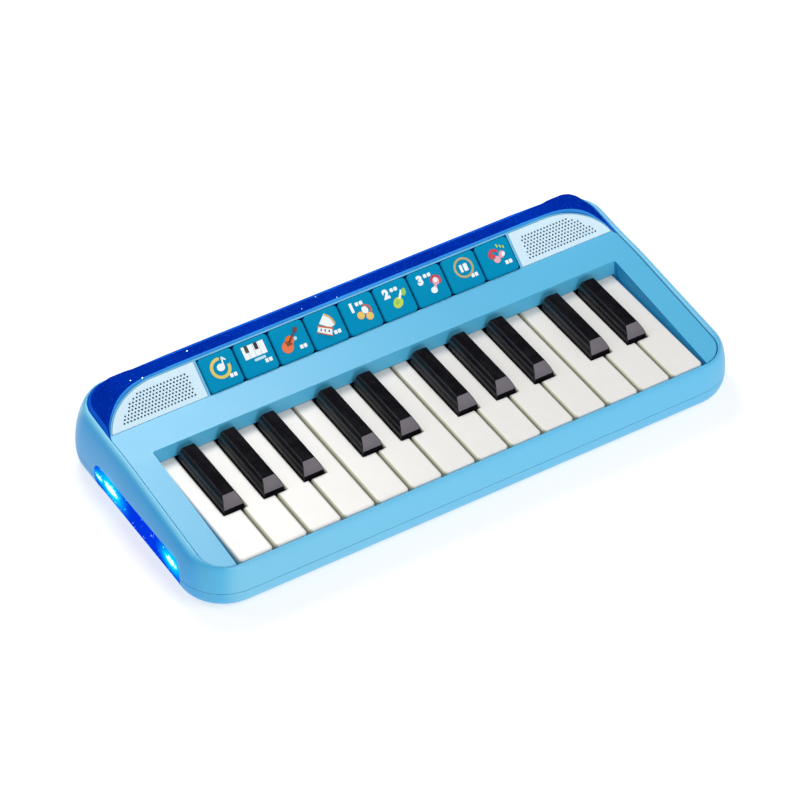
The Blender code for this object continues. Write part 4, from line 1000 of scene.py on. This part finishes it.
def lug(centre_x, front_y, top_z):
    outline = [(front_y, ROD_Z - LUG_RADIUS), (ROD_Y, ROD_Z - LUG_RADIUS)]
    for k in range(1, 12):
        angle = math.pi * (k / 12 - 0.5)
        outline.append((ROD_Y + LUG_RADIUS * math.cos(angle), ROD_Z + LUG_RADIUS * math.sin(angle)))
    outline += [(ROD_Y, ROD_Z + LUG_RADIUS), (front_y, top_z)]
    return prism(outline, centre_x - LUG_WIDTH / 2, centre_x + LUG_WIDTH / 2, SIDEWAYS)


def build_key(name, node, rings, lug_x, lug_y, *look):
    key = add("key", loft(rings))
    boolean(key, [lug(lug_x, lug_y, KEY_TOP_Z - 0.0010)], "UNION")
    ends = [(lug_x + reach, ROD_Y, ROD_Z) for reach in (-LUG_WIDTH, LUG_WIDTH)]
    boolean(key, [cylinder(BORE, *ends, 20)])
    return piece(name, key, node, *look)


def build_white_keys():
    for number in range(WHITE_COUNT):
        outline, tail_x = white_outline(number)
        rings = [[(x, y, KEY_TOP_Z - WHITE_HEIGHT) for x, y in outline]]
        for across, up in quarter(6):
            inner = white_outline(number, WHITE_EDGE * (1.0 - across))[0]
            rings.append([(x, y, KEY_TOP_Z - WHITE_EDGE * (1.0 - up)) for x, y in inner])
        node = f"white_key_{number + 1:02d}_{NOTES[number % 7]}"
        cap = build_key(f"white_cap_{number + 1:02d}", node, rings, tail_x, TAIL_Y - 0.0012,
                        "key_white", WHITE, node, 70, True)
        # Painted shade on each white key's left flank, except the first key's.
        more_looks(cap, [WHITE_FLANK_PAINTED_SHADE], lambda face: int(number > 0 and face.normal.x < -0.22))


BLACK_FLANK, BLACK_RIDGE = BLACK_TOP_HALF - BLACK_BASE, BLACK_FRONT + BLACK_SLOPE
# From the foot up: half width, front, distance in from the rear, height over the white keys, corner.
BLACK_RINGS = [
    (BLACK_BASE, BLACK_FRONT, 0.0, -BLACK_DEPTH, 0.0008),
    (BLACK_BASE, BLACK_FRONT, 0.0, BLACK_SKIRT - 0.0003, 0.0008),
    (BLACK_BASE - 0.0001, BLACK_FRONT + 0.0002, 0.0, BLACK_SKIRT, 0.0008),
    *[
        (BLACK_BASE + BLACK_FLANK * share + 0.00012, BLACK_FRONT + BLACK_SLOPE * share - 0.0001, 0.0,
         BLACK_SKIRT + (BLACK_TOP - BLACK_SKIRT) * share, 0.0007) for share in BLACK_PAINTED_HIGHLIGHT_SHARES
    ],
    (BLACK_TOP_HALF + 0.0004, BLACK_RIDGE - 0.0004, 0.0006, BLACK_TOP - 0.0006, 0.0006),
    (BLACK_TOP_HALF + 0.0001, BLACK_RIDGE, 0.0008, BLACK_TOP - 0.0002, 0.0006),
    (BLACK_TOP_HALF - 0.0002, BLACK_RIDGE + 0.0005, 0.0011, BLACK_TOP, 0.0006),
]


def black_look(face):
    """1 on the flanks, 3 on the painted highlight streak along them, 2 on the sloping front with its painted
    sheen.
    """
    if face.normal.y < -0.5 and 0.2 < face.normal.z < 0.9:
        return 2
    if abs(face.normal.x) <= 0.5:
        return 0
    low, high = BLACK_PAINTED_HIGHLIGHT_SHARES
    share = (face.center.z - KEY_TOP_Z - BLACK_SKIRT) / (BLACK_TOP - BLACK_SKIRT)
    return 3 if low < share < high else 1


def build_black_keys():
    for number, (joint, shift) in enumerate(BLACK_KEYS):
        middle = white_edge(joint) + shift
        rings = []
        for half, front, back, height, radius in BLACK_RINGS:
            outline = between((middle - half, front), (middle + half, BLACK_REAR - back), 0.0, radius, 5)
            rings.append([(x, y, KEY_TOP_Z + height) for x, y in outline])
        node = f"black_key_{number + 1:02d}_{NOTES[(joint - 1) % 7]}_sharp"
        cap = build_key(f"black_cap_{number + 1:02d}", node, rings, middle, BLACK_REAR - 0.0030,
                        "key_black", BLACK, node, 25)
        more_looks(cap, (BLACK_SHINE, BLACK_FRONT_PAINTED_SHEEN, BLACK_PAINTED_HIGHLIGHT), black_look)


# ---------------------------------------------------------------- buttons and their pictures
def button_place(number):
    centre = (number - (BUTTONS - 1) / 2) * BUTTON_PITCH
    return RAMP @ Matrix.Translation((centre, RAMP_LENGTH / 2, 0.0))


CROWN, BUTTON_EDGE = 0.00018, 0.0010


def crown_z(x, y):
    """The height of a button's slightly domed face."""
    far = max(abs(x) / (BUTTON_WIDTH / 2), abs(y) / (BUTTON_LENGTH / 2))
    return BUTTON_PROUD - CROWN * min(far, 1.0) ** 2


def build_buttons():
    half_x, half_y = BUTTON_WIDTH / 2, BUTTON_LENGTH / 2
    lip_top = -PANEL - GAP
    brow = BUTTON_PROUD - CROWN
    profile = [(0.0, lip_top - LIP_HEIGHT), (0.0, -0.0012)]
    profile += [(BUTTON_EDGE * (1 - across), brow - BUTTON_EDGE * (1 - up)) for across, up in quarter(6)]
    for number in range(BUTTONS):
        rings = []
        for inset, z in profile:
            ring = rectangle(half_x - inset, half_y - inset, BUTTON_CORNER - inset * 0.3)
            rings.append([(x, y, z) for x, y in ring])
        for share in (0.85, 0.6, 0.3, 0.05):
            inner_x, inner_y = (half_x - BUTTON_EDGE) * share, (half_y - BUTTON_EDGE) * share
            ring = rectangle(inner_x, inner_y, BUTTON_CORNER * share)
            rings.append([(x, y, crown_z(x, y)) for x, y in ring])
        cap = add("button", loft(rings))
        outline = rectangle(half_x - 0.002, half_y + BUTTON_LIP)
        boolean(cap, [prism(outline, lip_top - LIP_HEIGHT, lip_top)], "UNION")
        cap.data.transform(button_place(number))
        node = f"button_{number + 1}"
        piece(f"button_cap_{number + 1}", cap, node, "button_teal", BUTTON, node, 40)


INK = 0.00009


class Picture:
    """Flat inlays on one button, drawn in millimetres from the middle of its face."""

    def __init__(self, number):
        self.number = number
        self.count = 0

    def add(self, outline, ink, level=0):
        base = BUTTON_PROUD - 0.0003
        top = BUTTON_PROUD + INK * (1 + level)
        points = [(x / 1000, y / 1000) for x, y in outline]
        shape = add("inlay", prism(points, base, top))
        shape.data.transform(button_place(self.number))
        self.count += 1
        piece(f"inlay_{self.number + 1}_{self.count:02d}_{ink}", shape, f"button_{self.number + 1}",
              "button_teal", INKS[ink], None, 30)

    def disc(self, x, y, radius_x, radius_y, ink, level=0, turn=0.0):
        spin = Matrix.Rotation(math.radians(turn), 2)
        points = [spin @ Vector((radius_x * across, radius_y * up)) for across, up in circle(36)]
        self.add([(x + point.x, y + point.y) for point in points], ink, level)

    def ring(self, x, y, radius, width, ink, start=0.0, end=360.0, level=0):
        """Part of a ring, or a whole one in two halves."""
        angles = [math.radians(start + (end - start) * k / 60) for k in range(61)]
        outer, inner = [
            [(x + away * math.cos(angle), y + away * math.sin(angle)) for angle in angles]
            for away in (radius, radius - width)
        ]
        whole = end - start >= 360.0
        for part in (slice(0, 31), slice(30, 61)) if whole else (slice(0, 61),):
            self.add(outer[part] + list(reversed(inner[part])), ink, level)

    def bar(self, x0, y0, x1, y1, width, ink, level=0, end_width=None):
        along = Vector((x1 - x0, y1 - y0)).normalized()
        across = Vector((-along.y, along.x))
        wide = (width if end_width is None else end_width) / 2
        first, last = Vector((x0, y0)), Vector((x1, y1))
        self.add([
            tuple(first + across * width / 2), tuple(first - across * width / 2),
            tuple(last - across * wide), tuple(last + across * wide),
        ], ink, level)

    def block(self, x, y, width, height, ink, level=0, radius=0.25):
        self.add(rectangle(width / 2, height / 2, radius, 4, (x, y)), ink, level)

    def pair(self, x, y, apart, width, height, radius):
        for side in (-1, 1):
            self.block(x + side * apart, y, width, height, "white", 0, radius)

    def tag(self, x, y):
        """Two small pale marks beside a digit."""
        self.pair(x, y, 1.25, 2.0, 2.1, 0.5)

    def caption(self, x, y):
        """A plain pale mark where the toy has small lettering."""
        self.pair(x, y, 1.15, 1.9, 2.2, 0.45)


def digit(picture, text, x, y):
    curve = bpy.data.curves.new("digit", "FONT")
    curve.body = text
    curve.size, curve.extrude, curve.offset = 0.0068, 0.0002, 0.00048
    curve.align_x = curve.align_y = "CENTER"
    shape = add("digit", curve)
    mesh = evaluated_mesh(shape)
    bpy.data.objects.remove(shape, do_unlink=True)
    mesh.transform(Matrix.Translation((x / 1000, y / 1000, BUTTON_PROUD - 0.0002 + INK)))
    mesh.transform(button_place(picture.number))
    node = f"button_{picture.number + 1}"
    piece(f"digit_{text}", add("digit", mesh), node, "button_teal", INKS["white"], None, 30)


def build_pictures():
    loop = Picture(0)
    loop.ring(0.3, 1.3, 6.0, 1.75, "yellow", 78, 368)
    loop.disc(0.6, 1.6, 2.3, 2.1, "white")
    loop.bar(2.4, 1.6, 2.9, 6.4, 0.8, "white", 1)
    loop.bar(2.6, 6.5, 4.9, 4.6, 1.5, "white", 1, 0.6)
    loop.caption(5.6, -4.6)

    tones = Picture(1)
    for k in range(4):
        tones.block(-5.0 + 3.42 * k, 3.5, 3.25, 7.4, "white", 0, 0.3)
    for x in (-3.9, 1.9):
        tones.block(x, 5.3, 2.1, 4.0, "black", 1, 0.2)
    tones.block(1.5, -1.9, 7.0, 1.5, "mist", 0, 0.7)
    tones.caption(5.7, -4.3)

    strings = Picture(2)
    strings.disc(-3.3, -2.0, 3.5, 3.3, "orange", 0, 45)
    strings.disc(-0.9, 0.9, 2.9, 2.5, "orange", 0, 45)
    strings.disc(-2.6, -1.0, 1.0, 0.5, "brown", 2, 45)
    strings.bar(-1.6, 0.0, 4.0, 5.0, 1.0, "brown", 3, 0.9)
    strings.disc(4.6, 5.5, 1.5, 1.3, "brown", 2, 45)
    strings.disc(2.6, 1.0, 1.2, 1.0, "mist", 0, 30)
    strings.caption(5.3, -4.6)

    grand = Picture(3)
    lid = [(-3.2, 3.3), (1.9, 7.7), (3.8, 5.2), (5.2, 1.6), (5.0, -0.4), (2.0, -0.8), (-0.6, 1.2)]
    grand.add(round_corners(lid, [0.4] * 7, 3), "white", 0)
    grand.ring(-1.5, 1.0, 7.2, 1.1, "gold", -8, 62, 1)
    grand.bar(-4.6, 2.3, 3.4, -1.9, 1.3, "brick", 1)
    keys = [(-5.9, -0.4), (-4.4, 1.9), (2.6, -2.0), (1.2, -5.4)]
    grand.add(keys, "white", 2)
    grand.bar(-6.2, -0.7, 1.2, -5.4, 0.6, "brick", 3)
    for k in range(3):
        x, y = -3.2 + 2.0 * k, 0.4 - 1.1 * k
        grand.bar(x, y, x - 0.6, y - 1.1, 0.6, "black", 4)
    grand.caption(5.0, -4.3)

    drums = Picture(4)
    digit(drums, "1", -3.9, 4.2)
    drums.ring(3.2, 0.4, 3.6, 1.1, "brick", -60, 110)
    drums.disc(2.9, 1.0, 1.8, 2.2, "white", 0, 20)
    drums.disc(-0.6, -1.1, 2.2, 2.2, "amber", 1)
    drums.disc(-0.6, -1.1, 1.4, 1.4, "yellow", 2)
    drums.disc(4.2, -3.1, 2.2, 2.2, "amber", 1)
    drums.disc(4.2, -3.1, 1.4, 1.4, "yellow", 2)
    drums.tag(1.0, 5.5)

    maraca = Picture(5)
    digit(maraca, "2", -4.0, 4.2)
    maraca.disc(0.8, -2.3, 3.3, 2.7, "lime", 0, 38)
    maraca.disc(0.4, -2.0, 1.4, 1.1, "leaf", 1, 38)
    maraca.bar(2.2, -0.6, 5.4, 3.6, 1.2, "white", 1, 1.6)
    maraca.disc(6.1, 2.2, 2.2, 1.3, "leaf", 2, 70)
    maraca.tag(1.2, 5.5)

    beat = Picture(6)
    digit(beat, "3", -4.1, 4.2)
    beat.ring(4.6, 1.4, 3.2, 1.2, "red", -50, 190)
    beat.disc(4.6, 1.4, 2.3, 2.6, "pink", 0, -20)
    beat.disc(4.4, 1.6, 1.2, 1.3, "white", 1)
    beat.bar(3.5, -0.6, 2.3, -3.0, 1.6, "pink", 1)
    beat.disc(1.5, -3.4, 1.9, 1.8, "white", 2)
    beat.tag(0.9, 5.8)

    pace = Picture(7)
    pace.ring(1.1, 2.0, 5.9, 1.25, "tan", 0, 360)
    pace.block(-0.5, 1.9, 1.6, 4.4, "white", 0, 0.5)
    pace.block(2.3, 1.9, 2.4, 4.4, "white", 0, 0.5)
    pace.caption(5.4, -3.9)

    sing = Picture(8)
    sing.ring(-1.0, 2.2, 3.3, 1.6, "red", 20, 215)
    sing.disc(-1.9, 1.4, 1.5, 1.5, "red", 1)
    sing.disc(-0.3, -0.9, 2.1, 2.0, "pink", 1)
    sing.disc(3.4, 1.0, 1.7, 2.1, "pink", 0, -30)
    sing.disc(4.4, 0.9, 1.0, 1.4, "white", 1, -30)
    for k, (x, y) in enumerate(((2.9, 5.3), (4.6, 4.6), (6.1, 3.8))):
        sing.bar(x, y, x - 0.5 + 0.2 * k, y + 2.0 - 0.2 * k, 0.8, "lime", 0)
    sing.caption(5.6, -4.3)


# ---------------------------------------------------------------- small fittings
CASE_SCREW, DOOR_SCREW_SIZE = (0.0048, 0.0023), (FOOT + 0.0007, 0.0025)
DOOR_ROUND, DOOR_SINK, DOOR_BORE = 0.0002, 0.0030, 0.0016
GRIP_PITCH, GRIP_WIDTH, GRIP_HALF, GRIP_IN = 0.0016, 0.0008, 0.0070, 0.0090
RIB_PITCH, RIB_WIDTH, KNOB_TOP = 0.0012, 0.0006, 0.0062


def screw(name, x, y, z, radius):
    """A pan head with a cross recess, looking down."""
    rings = []
    for k in range(7):
        angle = math.pi / 2 * k / 6
        size = radius * math.cos(angle * 0.92)
        height = z - radius * 0.42 * math.sin(angle)
        rings.append([(x + size * across, y + size * up, height) for across, up in circle(28)])
    head = add("screw", loft([[(px, py, z + 0.0008) for px, py, _ in rings[0]]] + rings))
    long, wide = radius * 0.62, radius * 0.14
    for turn in (0.4, 0.4 + math.pi / 2):
        slot = box((-long, -wide, z - 0.003), (long, wide, z - radius * 0.12))
        slot.transform(Matrix.Translation((x, y, 0.0)) @ Matrix.Rotation(turn, 4, "Z"))
        boolean(head, [slot])
    return piece(name, head, "case", "steel", STEEL, None, 40)


def build_fittings():
    for number, (x, y) in enumerate(SCREW_WELLS):
        screw(f"case_screw_{number + 1}", x, y, *CASE_SCREW)
    x, y = DOOR_SCREW
    fixing = screw("door_screw_head", x, y, *DOOR_SCREW_SIZE)
    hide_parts("battery_door_screw")
    door = add("door", prism(between(*DOOR, -GAP), FOOT, FOOT + DOOR_THICKNESS))
    grip_y = [DOOR[1][1] - GRIP_IN + GRIP_PITCH * k for k in range(4)]
    boolean(door, [
        cylinder(DOOR_SINK, (x, y, 0.0), (x, y, DOOR_SCREW_SIZE[0]), 28),
        cylinder(DOOR_BORE, (x, y, 0.0), (x, y, 0.01), 20),
        *[
            box((-GRIP_HALF, low, FOOT - 0.001), (GRIP_HALF, low + GRIP_WIDTH, FOOT + 0.0005))
            for low in grip_y
        ],
    ])
    bevelled(door, DOOR_ROUND)
    piece("battery_cover", door, "case", "base_blue", BASE, "battery_door", 60, True)
    x, y = SWITCH
    knob = add("knob", box((x - 0.0024, y - 0.0022, FOOT - 0.0006), (x + 0.0024, y + 0.0022, KNOB_TOP)))
    rib_x = [x + RIB_PITCH * (k - 1.5) for k in range(3)]
    boolean(knob, [
        box((low, y - 0.003, 0.0), (low + RIB_WIDTH, y + 0.003, FOOT - 0.0002)) for low in rib_x
    ])
    flange_z = FOOT + WALL + GAP
    flange = box((x - 0.0050, y - 0.0042, flange_z), (x + 0.0050, y + 0.0042, flange_z + 0.0010))
    boolean(knob, [flange], "UNION")
    piece("switch_knob", knob, "power_switch_knob", "dark_plastic", DARK, "power_switch_knob", 40)


def dress_inner_nodes():
    """The CAD nodes that stay get the fuller materials."""
    wears = {
        "battery_1": CELL, "battery_2": CELL, "battery_3": CELL,
        "battery_contact_left": STEEL, "battery_contact_right": STEEL,
        "button_pad": RUBBER, "key_dome_strip": RUBBER,
        "key_contact_board": BOARD, "light_bar_board": BOARD, "main_board": BOARD,
        "side_light_board_left": BOARD, "side_light_board_right": BOARD,
        "key_pivot_rod": STEEL, "power_switch_body": STEEL,
        "speaker_left": SPEAKER, "speaker_right": SPEAKER,
    }
    for name, surface in wears.items():
        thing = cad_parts[name]
        for slot in thing.material_slots:
            slot.material = surface


# ---------------------------------------------------------------- stage, light and camera
def build_stage():
    bm = bmesh.new()
    bmesh.ops.create_grid(bm, x_segments=1, y_segments=1, size=6.0)
    floor = add("floor", finished(bm))
    made, tree, coords = start_material("floor_pale")
    clouds = noise(tree, coords, 1.2, 2.0)
    dress(tree, {
        "Base Color": mix_colour(tree, clouds, (0.46, 0.46, 0.46), (0.48, 0.48, 0.48)),
        "Emission Color": (1.0, 1.0, 1.0), "Emission Strength": 0.62,
        "Roughness": 0.7, "Specular IOR Level": 0.2,
    })
    floor.data.materials.append(made)


# Each light: name, place, what it is aimed at, size and power.
LIGHTS = (
    ("key_light", (0.55, -0.95, 1.45), (0.0, 0.0, 0.03), 0.9, 10.8),
    ("rear_light", (0.08, 0.60, 0.78), (-0.12, 0.0, 0.03), 0.38, 4.8),
    ("left_light", (-0.66, 0.64, 0.75), (-0.15, 0.0, 0.03), 0.35, 1.6),
    ("front_light", (-0.25, -1.50, 0.22), (-0.05, -0.08, 0.02), 0.7, 9.0),
)


def area_light(name, place, aim, size, energy):
    data = bpy.data.lights.new(name, "AREA")
    data.shape = "RECTANGLE"
    data.size = data.size_y = size
    data.energy = energy
    thing = add(name, data)
    thing.location = place
    thing.rotation_euler = (Vector(aim) - Vector(place)).to_track_quat("-Z", "Y").to_euler()


def build_light():
    world = bpy.data.worlds.new("studio")
    bpy.context.scene.world = world
    world.use_nodes = True
    inputs = world.node_tree.nodes["Background"].inputs
    inputs["Color"].default_value = (1.0, 1.0, 1.0, 1.0)
    inputs["Strength"].default_value = 0.36
    for light in LIGHTS:
        area_light(*light)


CAMERA_PLACE = (-0.8101, -1.4512, 1.4753)
CAMERA_FORWARD = (0.365302, 0.655922, -0.660546)
CAMERA_UP = (0.359690, 0.555018, 0.750052)
LENS = 183.33


def build_camera():
    data = bpy.data.cameras.new("camera")
    data.sensor_width = 36.0
    data.lens = LENS
    camera = add("camera", data)
    ahead, up = Vector(CAMERA_FORWARD), Vector(CAMERA_UP)
    turn = Matrix((ahead.cross(up), up, -ahead)).transposed().to_4x4()
    camera.matrix_world = Matrix.Translation(CAMERA_PLACE) @ turn
    bpy.context.scene.camera = camera
    bpy.context.scene.view_settings.view_transform = "Standard"


build_camera()
build_case()
build_side_lights()
build_panel()
build_grilles()
build_light_bar()
build_white_keys()
build_black_keys()
build_buttons()
build_pictures()
build_fittings()
dress_inner_nodes()
build_stage()
build_light()
